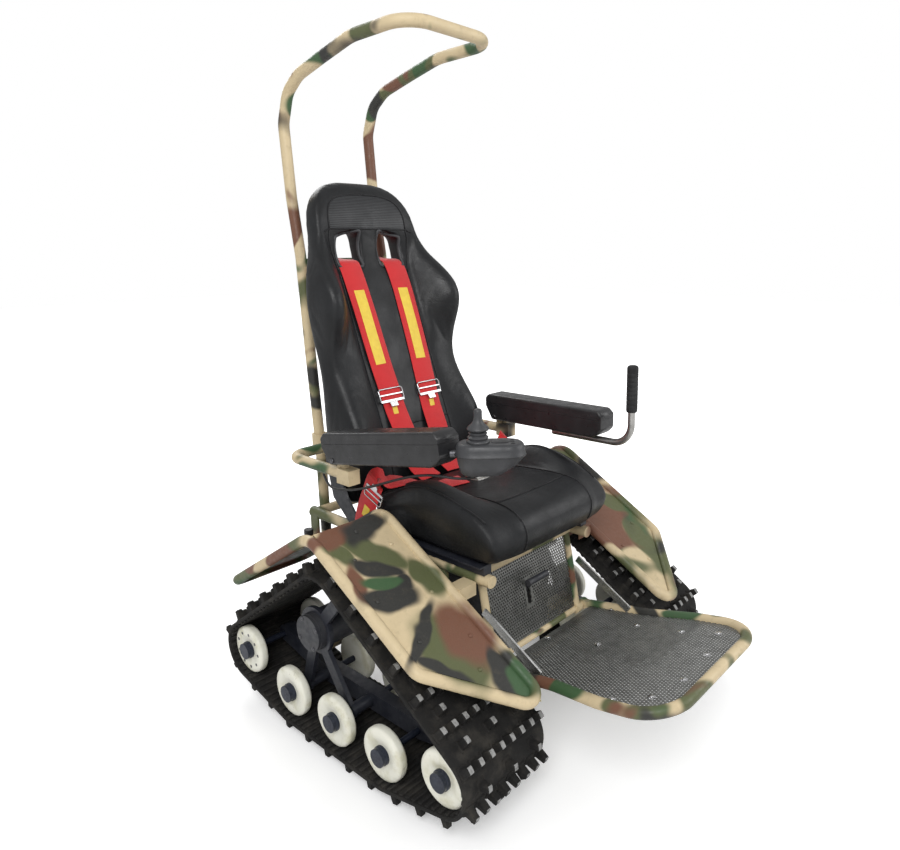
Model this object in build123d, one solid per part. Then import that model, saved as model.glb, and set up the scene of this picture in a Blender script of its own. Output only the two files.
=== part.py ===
from build123d import *
import os
from math import atan2, ceil, cos, degrees, hypot, pi, radians, sin, sqrt, tan

os.makedirs("parts", exist_ok=True)

# Tracked wheelchair. Millimetres, +Z up, ground at z = 0, the person faces -Y, the person's right is -X.

# Fits and clearances
GAP = 0.3
RUN = 0.3
HINGE_GAP = 1.2

# Track and road wheels, one side
TRACK_X = 367.0
BELT_W = 252.0
BELT_T = 9.0
RIB_H = 6.0
WHEEL_FIT = 0.6
LUG_H = 26.0
LUG_W = 17.0
LUG_L = 20.0
LUG_TIP = 0.7
LUG_PITCH = 80.0
LUG_SIDE = 31.4
LUG_EDGE = 16.0
SPARSE_COLS = (1, 3.5, 6)
WHEEL_R = 63.0
WHEEL_W = 26.0
WHEEL_INSET = 14.0
WHEEL_HUB_R = 22.0
AXLE_R = 8.0
CAP_R = 21.0
CAP_H = 12.0
WHEEL_MID_Y = 82.0
WHEEL_STEP = 173.0
END_STEP = 186.0
END_RISE = 42.0
SPROCKET_Y = 106.0
SPROCKET_Z = 382.0
SPROCKET_R = 70.0
SPROCKET_W = 54.0
SPROCKET_TEETH = 9
TOOTH_H = 6.0

# Track frame and drive
HUB_Y = 201.0
HUB_Z = 273.0
HUB_R = 47.0
HUB_OUT = TRACK_X + 85.0
PLATE_X = TRACK_X + 57.0
PLATE_T = 11.0
LEG_W = 30.0
BOSS_R = 19.0
RAIL_X = TRACK_X - 15.0
RAIL_T = 34.0
RAIL_H = 46.0
CASE_T = 34.0
CASE_X = TRACK_X - SPROCKET_W / 2 - 17.0 - CASE_T / 2
CASE_R = 48.0
SHAFT_R = 14.0
MOTOR_R = 52.0
MOTOR_L = 165.0
MOTOR_IN = 24.0

# Main frame
TUBE = 15.0
CROSS_R = 13.5
RAIL_SIDE = TRACK_X - BELT_W / 2 - 46.0
RAIL_Z = 430.0
RAIL_FRONT = -164.0
RAIL_REAR = 526.2
CROSS_FRONT_Y = -105.0
LOW_Z = 158.0
LOW_FRONT = -60.0
LOW_REAR = 380.0
BEAM_H = 36.0
BEAM_YS = (-4.5, 348.5)
BATTERY = (270.0, 200.0, 240.0)
BATTERY_Y = 20.0
POST_X = RAIL_SIDE + 36.0
POST_Y = 503.0
POST_FOOT = 344.0
POST_TOP = 390.0
POST_R = 12.0
POST_SEAT_T = 12.0

# Roll bar
ROLL_X = 145.0
ROLL_R = 15.0
ROLL_FOOT_Z = 300.0
ROLL_TOP = 1690.0
ROLL_FRONT = 126.0

# Armrests
ARM_X = 300.0
ARM_Y = 232.0
ARM_Z = 673.0
ARM_TUBE_R = 14.0
ARM_TUBE_Z = 632.0
ARM_TUBE_REAR = 463.0
ARM_BEND = 45.0
BLOCK = (34.0, 48.0, 40.0)
TONGUE_T = 14.0
TONGUE_R = 14.0
PIN_R = 5.0
PAD_L = 414.0
PAD_W = 64.0
PAD_REAR = 34.0
BASE_LOW = -10.0
SEAM = 41.0
PAD_TOP = 68.0
PAD_ROUND = 9.0
BASE_ROUND = 4.0
TILT_RIGHT = 10.4
TILT_LEFT = 1.0
GRIP_FRONT = 455.0
GRIP_R = 15.0
GRIP_TUBE_R = 9.5

# Joystick
STICK_FRONT = 440.0
MODULE_L = 150.0
MODULE_W = 76.0
MODULE_SWING = 45.0

# Front panel and footplate
FOOT_Y = -151.0
FOOT_Z = 212.0
PANEL_TOP_Y = -109.0
PANEL_TOP_Z = 410.0
STRUT_X = RAIL_SIDE - 23.0
STRUT_R = 10.0
SHEET = 3.0
PLATE_RISE = 0.2
PLATE_LEN = 478.0
PLATE_HALF = STRUT_X + 32.0
PLATE_BULGE = PLATE_HALF + 20.0
PLATE_TUBE_R = 13.0
PLATE_CORNER = 90.0
BAR_R = 8.0
BAR_FORWARD = 64.0
MESH_REAR = 34.0
STAY_X = STRUT_X + 20.0
STAY_W = 5.0
STAY_H = 20.0

# Fenders
FENDER_OUT = TRACK_X + 113.0
FENDER_GAP = 25.0
FENDER_R = 13.0
FENDER_SHEET = 3.0
CREST_Y = 128.0
CREST_Z = 552.0

# Seat
SEAT_HALF = 243.0
SEAT_MID = 172.0
FENDER_IN = SEAT_HALF + FENDER_GAP
FENDER_TIP_IN = FENDER_IN + 4.0
SEAT_FLOOR = 470.0
BACK_LEAN = 0.387
SLOT_X = 74.0
SLOT_W = 78.0
SLOT_LOW = 1136.0
SLOT_TOP = 1218.0
SLOT_SLANT = 18.0
STRAP_W = 74.0
STRAP_T = 3.0

SIDES = (("right", -1), ("left", 1))
nodes = {}


def add(name, *shapes):
    solids = []
    for shape in shapes:
        solids += list(shape.solids())
    nodes[name] = solids


def box(x0, x1, y0, y1, z0, z1):
    size = (abs(x1 - x0), abs(y1 - y0), abs(z1 - z0))
    return Pos((x0 + x1) / 2, (y0 + y1) / 2, (z0 + z1) / 2) * Box(*size)


def rod(p, q, r):
    start = Vector(*p)
    axis = Vector(*q) - start
    plane = Plane(origin=start, z_dir=axis)
    return extrude(plane * Circle(r), axis.length)


def tube(points, radii, r, close=False):
    path = FilletPolyline(*points, radius=radii, close=close)
    plane = Plane(origin=path @ 0, z_dir=path % 0)
    return sweep(plane * Circle(r), path=path)


def disc(x0, x1, y, z, r):
    return rod((x0, y, z), (x1, y, z), r)


def side_profile(points, x0, x1):
    # A closed outline in the Y-Z plane, given thickness along X.
    lo, hi = min(x0, x1), max(x0, x1)
    wire = Polyline(*[(lo, y, z) for y, z in points], close=True)
    return extrude(make_face(wire), hi - lo, dir=(1, 0, 0))


def fuse(*shapes):
    out = shapes[0]
    for shape in shapes[1:]:
        out = out + shape
    return out


# Belt line: wheels from rear to front along the ground, then the sprocket
WHEEL_Z = LUG_H + BELT_T + RIB_H + WHEEL_R
wheels = [
    (WHEEL_MID_Y + WHEEL_STEP + END_STEP, WHEEL_Z + END_RISE),
    (WHEEL_MID_Y + WHEEL_STEP, WHEEL_Z),
    (WHEEL_MID_Y, WHEEL_Z),
    (WHEEL_MID_Y - WHEEL_STEP, WHEEL_Z),
    (WHEEL_MID_Y - WHEEL_STEP - END_STEP, WHEEL_Z + END_RISE),
]
belt_circles = [(y, z, WHEEL_R) for y, z in wheels] + [(SPROCKET_Y, SPROCKET_Z, SPROCKET_R)]


def belt_runs():
    # Straight runs tangent to each pair of circles, going round the loop with the loop on the left of travel.
    runs = []
    n = len(belt_circles)
    for i in range(n):
        y0, z0, r0 = belt_circles[i]
        y1, z1, r1 = belt_circles[(i + 1) % n]
        length = hypot(y1 - y0, z1 - z0)
        along = atan2(z1 - z0, y1 - y0)
        out = along + pi / 2 - (pi / 2 - pi / 2)
        lean = (r0 - r1) / length
        normal = along + pi / 2 - atan2(lean, sqrt(1 - lean * lean))
        runs.append((normal, (y0, z0, r0), (y1, z1, r1)))
    return runs


def belt_path():
    # Pieces of the belt line, each a run or an arc: (length, point function).
    pieces = []
    runs = belt_runs()
    n = len(runs)
    for i in range(n):
        normal, c0, c1 = runs[i]
        a = (c0[0] + c0[2] * cos(normal), c0[1] + c0[2] * sin(normal))
        b = (c1[0] + c1[2] * cos(normal), c1[1] + c1[2] * sin(normal))
        pieces.append(("run", hypot(b[0] - a[0], b[1] - a[1]), a, b, normal))
        after = runs[(i + 1) % n][0]
        turn = (normal - after) % (2 * pi)
        pieces.append(("arc", turn * (c1[2] + RIB_H + BELT_T / 2), c1, turn, normal))
    return pieces


def belt_point(pieces, s, lift):
    # The point at distance s along the belt, lift outside the wheels' rims, and the outward direction there.
    total = sum(p[1] for p in pieces)
    s = s % total
    for kind, length, *rest in pieces:
        if s > length:
            s -= length
            continue
        if kind == "run":
            a, b, normal = rest
            t = s / length
            y = a[0] + (b[0] - a[0]) * t
            z = a[1] + (b[1] - a[1]) * t
        else:
            centre, turn, start = rest
            normal = start - turn * s / length
            y = centre[0] + centre[2] * cos(normal)
            z = centre[1] + centre[2] * sin(normal)
        return y + lift * cos(normal), z + lift * sin(normal), normal
    return belt_point(pieces, 0.0, lift)


belt = belt_path()
belt_length = sum(p[1] for p in belt)
rows = round(belt_length / LUG_PITCH)
row_step = belt_length / rows
ground_s = belt[0][1] + belt[1][1]


def inner_line():
    # The belt's inner face: the ends of each straight run, and close points round each wheel.
    points = []
    at = 0.0
    for piece in belt:
        length = piece[1]
        if piece[0] == "arc" and length > 1:
            count = ceil(length / 8.0)
            for k in range(count + 1):
                points.append(belt_point(belt, at + k * (length - 0.01) / count, WHEEL_FIT)[:2])
        at += length
    return points


def track_outline():
    outer = []
    inner = inner_line()
    for i in range(rows):
        s = (i + 0.5) * row_step
        half = LUG_L / 2
        for ds, lift in ((-half, 0), (-half * LUG_TIP, LUG_H), (half * LUG_TIP, LUG_H), (half, 0)):
            outer.append(belt_point(belt, s + ds, RIB_H + BELT_T + lift)[:2])
        outer.append(belt_point(belt, s + row_step / 2, RIB_H + BELT_T)[:2])
    return outer, inner


outer, inner = track_outline()
track_in = TRACK_X - BELT_W / 2
track_out = TRACK_X + BELT_W / 2
wheel_out = track_out - WHEEL_INSET
wheel_spans = ((wheel_out - WHEEL_W, wheel_out), (track_in + WHEEL_INSET, track_in + WHEEL_INSET + WHEEL_W))
cap_seat = wheel_out

for side, s in SIDES:
    loop = side_profile(outer, s * track_in, s * track_out) - side_profile(inner, s * (track_in - 1), s * (track_out + 1))
    lugs = []
    for i in range(rows):
        for column in SPARSE_COLS:
            x = track_out - LUG_EDGE - column * LUG_SIDE
            foot = []
            for ds, lift in ((-0.5, -3), (-0.5 * LUG_TIP, LUG_H), (0.5 * LUG_TIP, LUG_H), (0.5, -3)):
                at = (i * row_step + ds * LUG_L) % belt_length
                foot.append(belt_point(belt, at, RIB_H + BELT_T + lift)[:2])
            lugs.append(side_profile(foot, s * (x - LUG_W / 2), s * (x + LUG_W / 2)))
    add("track_" + side, loop.fuse(*lugs))

    # Road wheels: a rim, a dished face and a hub with the axle's bore
    tyres = []
    for y, z in wheels:
        for x0, x1 in wheel_spans:
            dish = 5.0
            profile = Polyline(
                (AXLE_R + RUN, 0), (WHEEL_R - 8, 0), (WHEEL_R, 4), (WHEEL_R, WHEEL_W - 4),
                (WHEEL_R - 8, WHEEL_W), (WHEEL_HUB_R + 8, WHEEL_W - dish), (WHEEL_HUB_R, WHEEL_W),
                (AXLE_R + RUN, WHEEL_W), close=True,
            )
            ring = revolve(make_face(profile), Axis.Y)
            outward = s if x0 == wheel_spans[0][0] else -s
            base = x0 if x0 == wheel_spans[0][0] else x1
            plane = Plane(origin=(s * base, y, z), x_dir=(0, 1, 0), z_dir=(0, 0, 1) if outward < 0 else (0, 0, -1))
            tyres.append(plane * ring)
    add("road_wheels_" + side, *tyres)

    # Axles with a cap outside each wheel
    axles = []
    for y, z in wheels:
        shaft = disc(s * (track_in + WHEEL_INSET - 2), s * (cap_seat + GAP), y, z, AXLE_R)
        cap = disc(s * (cap_seat + GAP), s * (cap_seat + CAP_H), y, z, CAP_R)
        axles.append(shaft + cap)
    add("wheel_axles_" + side, *axles)

    # Bottom rail along the axles, with cross bores
    bores = [disc(s * (track_in - 5), s * (track_out + 5), y, z, AXLE_R + RUN) for y, z in wheels]
    line = wheels
    top = [(y, z + RAIL_H / 2) for y, z in line]
    low = [(y, z - RAIL_H / 2) for y, z in reversed(line)]
    rail = side_profile(top + low, s * (RAIL_X - RAIL_T / 2), s * (RAIL_X + RAIL_T / 2))
    for y, z in (wheels[0], wheels[-1]):
        rail = rail + disc(s * (RAIL_X - RAIL_T / 2), s * (RAIL_X + RAIL_T / 2), y, z, RAIL_H / 2)

    # Side plate: two legs from the drive hub to the axles, one arm up to the sprocket
    def leg(p, q):
        length = hypot(q[0] - p[0], q[1] - p[1])
        ny, nz = -(q[1] - p[1]) / length * LEG_W / 2, (q[0] - p[0]) / length * LEG_W / 2
        pts = [(p[0] + ny, p[1] + nz), (q[0] + ny, q[1] + nz), (q[0] - ny, q[1] - nz), (p[0] - ny, p[1] - nz)]
        return side_profile(pts, s * (PLATE_X - PLATE_T / 2), s * (PLATE_X + PLATE_T / 2))

    hub = (HUB_Y, HUB_Z)
    ends = (wheels[1], wheels[2], (SPROCKET_Y, SPROCKET_Z))
    plate = disc(s * (PLATE_X - PLATE_T / 2), s * (PLATE_X + PLATE_T / 2), HUB_Y, HUB_Z, HUB_R + 12)
    for end in ends:
        plate = plate + leg(hub, end)
        radius = BOSS_R if end != ends[2] else SHAFT_R + 10
        plate = plate + disc(s * (PLATE_X - PLATE_T / 2), s * (PLATE_X + PLATE_T / 2), end[0], end[1], radius)
    spacers = [
        disc(s * (RAIL_X + RAIL_T / 2), s * (PLATE_X - PLATE_T / 2), y, z, BOSS_R - 3) for y, z in wheels[1:3]
    ]
    frame = fuse(plate, rail, *spacers)
    for bore in bores:
        frame = frame - bore
    frame = frame - disc(s * (PLATE_X - 20), s * (PLATE_X + 20), HUB_Y, HUB_Z, HUB_R + GAP)
    frame = frame - disc(s * (PLATE_X - 20), s * (PLATE_X + 20), SPROCKET_Y, SPROCKET_Z, SHAFT_R + RUN)
    add("track_frame_" + side, frame)

    # Drive case: hub cylinder with its cover, and the case up to the sprocket shaft
    case_in, case_out = s * (CASE_X - CASE_T / 2), s * (CASE_X + CASE_T / 2)
    ny, nz = SPROCKET_Z - HUB_Z, HUB_Y - SPROCKET_Y
    length = hypot(ny, nz)
    ny, nz = ny / length * CASE_R, nz / length * CASE_R
    web = side_profile(
        [(HUB_Y + ny, HUB_Z + nz), (SPROCKET_Y + ny, SPROCKET_Z + nz),
         (SPROCKET_Y - ny, SPROCKET_Z - nz), (HUB_Y - ny, HUB_Z - nz)], case_in, case_out)
    case = fuse(
        web,
        disc(case_in, case_out, HUB_Y, HUB_Z, CASE_R + 2),
        disc(case_in, case_out, SPROCKET_Y, SPROCKET_Z, CASE_R),
        disc(s * (CASE_X + CASE_T / 2), s * (HUB_OUT - 8), HUB_Y, HUB_Z, HUB_R),
        disc(s * (HUB_OUT - 8), s * HUB_OUT, HUB_Y, HUB_Z, HUB_R - 2),
    )
    case = case - disc(s * (CASE_X - CASE_T), s * (CASE_X + CASE_T), SPROCKET_Y, SPROCKET_Z, SHAFT_R + RUN)
    add("drive_case_" + side, case)

    # Sprocket on its shaft, between the case and the side plate
    teeth = []
    for k in range(SPROCKET_TEETH):
        a0 = 2 * pi * k / SPROCKET_TEETH
        for da, r in ((-0.22, SPROCKET_R - 1 - TOOTH_H), (-0.12, SPROCKET_R - 1), (0.12, SPROCKET_R - 1), (0.22, SPROCKET_R - 1 - TOOTH_H)):
            teeth.append((SPROCKET_Y + r * cos(a0 + da), SPROCKET_Z + r * sin(a0 + da)))
    sx0, sx1 = s * (TRACK_X - SPROCKET_W / 2), s * (TRACK_X + SPROCKET_W / 2)
    gear = side_profile(teeth, sx0, sx1)
    shaft = disc(s * (CASE_X - CASE_T / 2 + 4), s * (PLATE_X + PLATE_T / 2 + 4), SPROCKET_Y, SPROCKET_Z, SHAFT_R)
    add("drive_sprocket_" + side, gear + shaft)

# Drive motors, end to end behind the battery
motors = []
for side, s in SIDES:
    body = disc(s * MOTOR_IN, s * (MOTOR_IN + MOTOR_L), HUB_Y, HUB_Z, MOTOR_R)
    neck = disc(s * (MOTOR_IN + MOTOR_L), s * (CASE_X - CASE_T / 2 - GAP), HUB_Y, HUB_Z, MOTOR_R - 16)
    motors.append(body + neck)
add("drive_motors", *motors)

# Main frame: two capped seat rails, two low rails, uprights, cross tubes and two beams out to the tracks
parts_of_frame = []
for side, s in SIDES:
    x = s * RAIL_SIDE
    low_x = s * (RAIL_SIDE - 20)
    parts_of_frame.append(rod((x, RAIL_FRONT, RAIL_Z), (x, RAIL_REAR, RAIL_Z), TUBE))
    parts_of_frame.append(rod((low_x, LOW_FRONT, LOW_Z), (low_x, LOW_REAR, LOW_Z), TUBE))
    for y in BEAM_YS:
        parts_of_frame.append(rod((low_x, y, LOW_Z), (x, y, RAIL_Z), TUBE - 2))
for y in BEAM_YS:
    reach = RAIL_X - RAIL_T / 2 - GAP
    parts_of_frame.append(box(-reach, reach, y - BEAM_H / 2, y + BEAM_H / 2, WHEEL_Z + RAIL_H / 2 - 18, WHEEL_Z + RAIL_H / 2 - 18 + BEAM_H))
for y in (CROSS_FRONT_Y, RAIL_REAR - 14):
    parts_of_frame.append(rod((-RAIL_SIDE, y, RAIL_Z), (RAIL_SIDE, y, RAIL_Z), CROSS_R))
for side, s in SIDES:
    x = s * POST_X
    parts_of_frame.append(box(s * (RAIL_SIDE + 9), s * (RAIL_SIDE + 15), POST_Y - 17, POST_Y + 17, POST_FOOT - POST_SEAT_T, RAIL_Z))
    parts_of_frame.append(box(s * (RAIL_SIDE + 9), x + s * (POST_R + 4), POST_Y - 17, POST_Y + 17, POST_FOOT - POST_SEAT_T, POST_FOOT))
    parts_of_frame.append(Pos(x, POST_Y, (POST_FOOT + POST_TOP) / 2) * Cylinder(POST_R, POST_TOP - POST_FOOT))
add("main_frame", fuse(*parts_of_frame))

bx, by, bz = BATTERY
floor = WHEEL_Z + RAIL_H / 2 - 18 + BEAM_H + GAP
add("battery_box", box(-bx / 2, bx / 2, BATTERY_Y - by / 2, BATTERY_Y + by / 2, floor, floor + bz))

# Roll bar: one bent tube each side, joined over the head, standing on the rear cross tube
near = [(539, 330), (545, 626), (567, 887), (585, 1150), (612, 1307), (628, 1500), (600, 1575), (548, 1612), (441, 1640), (ROLL_FRONT + 200, 1668), (ROLL_FRONT, ROLL_TOP - ROLL_R)]
path = []
for y, z in near:
    path.append((-ROLL_X, y, z))
for y, z in reversed(near):
    path.append((ROLL_X, y, z))
radii = [200, 200, 200, 150, 60, 60, 100, 200, 200, 70, 70, 200, 200, 100, 60, 60, 150, 200, 200, 200]
hoop = tube(path, radii, ROLL_R)
BAR_Z = 1135.0
bar = rod((-ROLL_X, 584, BAR_Z), (ROLL_X, 584, BAR_Z), 10.0)
add("roll_bar", hoop + bar)

# Armrest tube: a U behind the seat, clamped to the roll bar, with a block and a tongue at each end
block_x, block_y, block_z = BLOCK
arm_end = ARM_Y + block_y / 2 - 18
u_path = [(-ARM_X, arm_end, ARM_TUBE_Z), (-ARM_X, ARM_TUBE_REAR, ARM_TUBE_Z), (ARM_X, ARM_TUBE_REAR, ARM_TUBE_Z), (ARM_X, arm_end, ARM_TUBE_Z)]
arm_parts = [tube(u_path, [ARM_BEND, ARM_BEND], ARM_TUBE_R)]
roll_y = 539 + (545 - 539) * (ARM_TUBE_Z - 330) / (626 - 330)
for side, s in SIDES:
    ring = Pos(s * ROLL_X, roll_y, ARM_TUBE_Z) * Cylinder(ROLL_R + 7, 36)
    arm_parts.append(ring)
    arm_parts.append(rod((s * ROLL_X, ARM_TUBE_REAR, ARM_TUBE_Z), (s * ROLL_X, roll_y, ARM_TUBE_Z), 10.0))
    x = s * ARM_X
    arm_parts.append(box(x - block_x / 2, x + block_x / 2, arm_end - block_y, arm_end, ARM_TUBE_Z - block_z / 2, ARM_TUBE_Z + block_z / 2 - 2))
    arm_parts.append(box(x - TONGUE_T / 2, x + TONGUE_T / 2, ARM_Y - TONGUE_R, ARM_Y + TONGUE_R, ARM_TUBE_Z, ARM_Z))
    arm_parts.append(disc(x - TONGUE_T / 2, x + TONGUE_T / 2, ARM_Y, ARM_Z, TONGUE_R))
    arm_parts.append(disc(x - PAD_W / 2 + 2, x + PAD_W / 2 - 2, ARM_Y, ARM_Z, PIN_R))
arm_tube = fuse(*arm_parts)
arm_tube = arm_tube - tube(path, radii, ROLL_R + GAP)
add("armrest_tube", arm_tube)


def tilted(shape, angle):
    # Turns a piece about an armrest's pin, front end up.
    return shape.rotate(Axis((0, ARM_Y, ARM_Z), (1, 0, 0)), -angle)


# Armrests: a hard base with a slot for the tongue, and a pad above the seam
for side, s in SIDES:
    angle = TILT_RIGHT if s < 0 else TILT_LEFT
    x = s * ARM_X
    front = PAD_REAR - PAD_L
    low = [(12, BASE_LOW), (PAD_REAR, SEAM - 14), (PAD_REAR, SEAM), (front, SEAM), (front, 12), (front + 34, BASE_LOW)]
    low = [(ARM_Y + a, ARM_Z + b) for a, b in low]
    base = side_profile(low, x - PAD_W / 2, x + PAD_W / 2)
    slot = TONGUE_T / 2 + HINGE_GAP
    base = base - box(x - slot, x + slot, ARM_Y - TONGUE_R - 8, ARM_Y + PAD_REAR + 5, ARM_Z + BASE_LOW - 5, ARM_Z + TONGUE_R + 7)
    base = base - disc(x - PAD_W, x + PAD_W, ARM_Y, ARM_Z, PIN_R + RUN)
    up = [(PAD_REAR, SEAM + GAP), (PAD_REAR, PAD_TOP - 10), (PAD_REAR - 10, PAD_TOP), (front + 12, PAD_TOP), (front, PAD_TOP - 12), (front, SEAM + GAP)]
    up = [(ARM_Y + a, ARM_Z + b) for a, b in up]
    pad = side_profile(up, x - PAD_W / 2, x + PAD_W / 2)
    pad = fillet(pad.edges().filter_by(Axis.X).group_by(Axis.Z)[-1], PAD_ROUND)
    pad = fillet(pad.faces().sort_by(Axis.Z)[-1].edges().filter_by(Axis.Y), PAD_ROUND)
    base = fillet(base.faces().sort_by(Axis.Z)[0].edges().filter_by(Axis.Y), BASE_ROUND)
    base = tilted(base, angle)
    add("armrest_base_" + side, base)
    add("armrest_pad_" + side, tilted(pad, angle))
    if s < 0:
        base_right = base

# Hand grip on a bent steel bar under the left armrest
x = ARM_X
bar_z = ARM_Z + BASE_LOW - GRIP_TUBE_R - GAP
grip_y = ARM_Y - GRIP_FRONT
grip_top = ARM_Z + 190
bar = tube([(x, ARM_Y - 200, bar_z), (x, grip_y, bar_z), (x, grip_y, grip_top)], [55], GRIP_TUBE_R)
grip = Pos(x, grip_y, grip_top - 125 / 2 + 6) * Cylinder(GRIP_R, 125)
grip = fillet(grip.edges(), 5)
grip = grip - Pos(x, grip_y, grip_top - 125 / 2 - 10) * Cylinder(GRIP_TUBE_R + RUN, 125 + 20)
add("grip_bar", tilted(bar, TILT_LEFT))
add("hand_grip", tilted(grip, TILT_LEFT))

# Joystick module in front of the right armrest, turned inboard
mod_y = ARM_Y - STICK_FRONT
mod_x = -ARM_X + 50
mod_z = 759.0
half = (MODULE_L - MODULE_W) / 2
capsule = SlotOverall(MODULE_L, MODULE_W)
place = Pos(mod_x, mod_y, mod_z) * Rot(0, 0, -MODULE_SWING)
upper = extrude(place * capsule, 26)
upper = fillet(upper.faces().sort_by(Axis.Z)[-1].edges(), 7)
bowl = loft([place * capsule, place * Pos(-half * 0.5, 0, -44) * SlotOverall(MODULE_L * 0.55, MODULE_W * 0.62)])
stub = rod((-ARM_X + 6, mod_y + 75, mod_z - 4), (mod_x, mod_y, mod_z - 4), 9)
module = fuse(upper, bowl, stub) - base_right
stick_x = mod_x - 0.5 * half * 2 * cos(radians(MODULE_SWING))
stick_y = mod_y + 0.5 * half * 2 * sin(radians(MODULE_SWING))
add("joystick_module", module)
top = mod_z + 26 + GAP
boot = Pos(stick_x, stick_y, top + 14) * Cone(20, 9, 28)
stem = Pos(stick_x, stick_y, top + 28 + 16) * Cylinder(7.5, 32)
add("joystick_stick", boot + stem)

# Joystick cable, from the module's underside along the armrest and round the block
cable = [
    (-262, -192, 714.4), (-268, -170, 701), (-284, -138, 697), (-304, -98, 702), (-320, -50, 694),
    (-327, 0, 676), (-329, 48, 656), (-328, 100, 635), (-327, 152, 616), (-327, 204, 604),
    (-330, 256, 599), (-313.2, 296, 620.6),
]
runs = [Vector(*b) - Vector(*a) for a, b in zip(cable, cable[1:])]
bends = []
for a, b in zip(runs, runs[1:]):
    turn = radians(a.get_angle(b))
    bends.append(0.45 * min(a.length, b.length) / tan(turn / 2))
print("cable radii", [round(r) for r in bends])
CABLE_R = 3.0
add("joystick_cable", tube(cable, bends, CABLE_R) - module)

# Front struts with the footplate's hinge rod, and the sheet between them
foot = (FOOT_Y, FOOT_Z)
strut_parts = []
for side, s in SIDES:
    x = s * STRUT_X
    strut_parts.append(rod((x, CROSS_FRONT_Y, RAIL_Z), (x, FOOT_Y, FOOT_Z), STRUT_R))
    strut_parts.append(disc(x - STRUT_R, x + STRUT_R, FOOT_Y, FOOT_Z, STRUT_R + 4))
    strut_parts.append(rod((x, FOOT_Y, FOOT_Z), (s * (RAIL_SIDE - 20), LOW_FRONT, LOW_Z), STRUT_R - 1))
HINGE_R = 8.0
strut_parts.append(disc(-PLATE_HALF - 14, PLATE_HALF + 14, FOOT_Y, FOOT_Z, HINGE_R))
struts = fuse(*strut_parts) - rod((-RAIL_SIDE, CROSS_FRONT_Y, RAIL_Z), (RAIL_SIDE, CROSS_FRONT_Y, RAIL_Z), CROSS_R + GAP)
for side, s in SIDES:
    x = s * (RAIL_SIDE - 20)
    struts = struts - rod((x, LOW_FRONT, LOW_Z), (x, LOW_REAR, LOW_Z), TUBE + GAP)
add("front_struts", struts)
lean = atan2(CROSS_FRONT_Y - FOOT_Y, RAIL_Z - FOOT_Z)
panel_plane = Plane(origin=(0, FOOT_Y, FOOT_Z), x_dir=(1, 0, 0), z_dir=(0, -cos(lean), sin(lean)))
panel_h = hypot(CROSS_FRONT_Y - FOOT_Y, RAIL_Z - FOOT_Z)
panel_w = 2 * (STRUT_X - STRUT_R - GAP)
panel = extrude(panel_plane * Pos(0, (HINGE_R + panel_h - CROSS_R) / 2) * Rectangle(panel_w, panel_h - CROSS_R - HINGE_R - 2 * GAP), SHEET / 2, both=True)
SLOT_LEVER_X = -14.0
panel = panel - extrude(panel_plane * Pos(SLOT_LEVER_X, 113) * Rectangle(16, 56), SHEET, both=True)
add("front_panel", panel)
lever = fuse(
    rod((SLOT_LEVER_X, -118, 330), (SLOT_LEVER_X, -152, 368), 5),
    disc(SLOT_LEVER_X - 36, SLOT_LEVER_X + 40, -154, 370, 8.5),
    disc(SLOT_LEVER_X - 6, SLOT_LEVER_X + 6, -113, 326, 8),
    rod((SLOT_LEVER_X, -113, 326), (SLOT_LEVER_X, BATTERY_Y - BATTERY[1] / 2 - GAP, 326), 5),
)
add("panel_lever", lever)

# Footplate: a bent tube frame on two eyes round the hinge rod, with a sheet inside it
rise = atan2(PLATE_RISE, 1)
plate_plane = Plane(origin=(0, FOOT_Y, FOOT_Z), x_dir=(1, 0, 0), z_dir=(0, sin(rise), cos(rise)))
plate_len = PLATE_LEN / cos(rise)
h, b = PLATE_HALF, PLATE_BULGE
near_y, far_y = -0.41 * plate_len, -0.677 * plate_len
flat = [(h, -25), (h, near_y), (b, far_y), (b, -plate_len), (-b, -plate_len), (-b, far_y), (-h, near_y), (-h, -25)]
world = [plate_plane.from_local_coords(Vector(x, y, 0)) for x, y in flat]
swell = 0.41 * plate_len
bends = [swell, swell, PLATE_CORNER, PLATE_CORNER, swell, swell]
frame_tube = tube([tuple(v) for v in world], bends, PLATE_TUBE_R)
eyes = []
EYE_W = 18.0
for side, s in SIDES:
    x = s * h
    eyes.append(disc(x - EYE_W / 2, x + EYE_W / 2, FOOT_Y, FOOT_Z, HINGE_R + 7))
    arm = plate_plane * Pos(x, -16, 0) * Box(EYE_W, 30, 18)
    eyes.append(arm)
bar_drop = BAR_R + SHEET / 2 + GAP
bar_ends = [tuple(plate_plane.from_local_coords(Vector(x, -BAR_FORWARD, -bar_drop))) for x in (-h, h)]
rear_bar = rod(*bar_ends, BAR_R)
foot_frame = fuse(frame_tube, rear_bar, *eyes)
for side, s in SIDES:
    foot_frame = foot_frame - disc(s * h - EYE_W, s * h + EYE_W, FOOT_Y, FOOT_Z, HINGE_R + RUN)
edge = PLATE_TUBE_R + GAP
hs, bs = h - edge, b - edge
inner_flat = [(hs, -MESH_REAR), (hs, near_y + 3), (bs, far_y + 3), (bs, -plate_len + edge), (-bs, -plate_len + edge), (-bs, far_y + 3), (-hs, near_y + 3), (-hs, -MESH_REAR)]
curve = FilletPolyline(*inner_flat, radius=[swell - edge, swell + edge, PLATE_CORNER - edge, PLATE_CORNER - edge, swell + edge, swell - edge])
mesh_face = make_face(Wire([*curve.edges(), Line(inner_flat[-1], inner_flat[0])]))
add("footplate_mesh", extrude(plate_plane * mesh_face, SHEET / 2, both=True) - foot_frame)
stays = []
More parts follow.
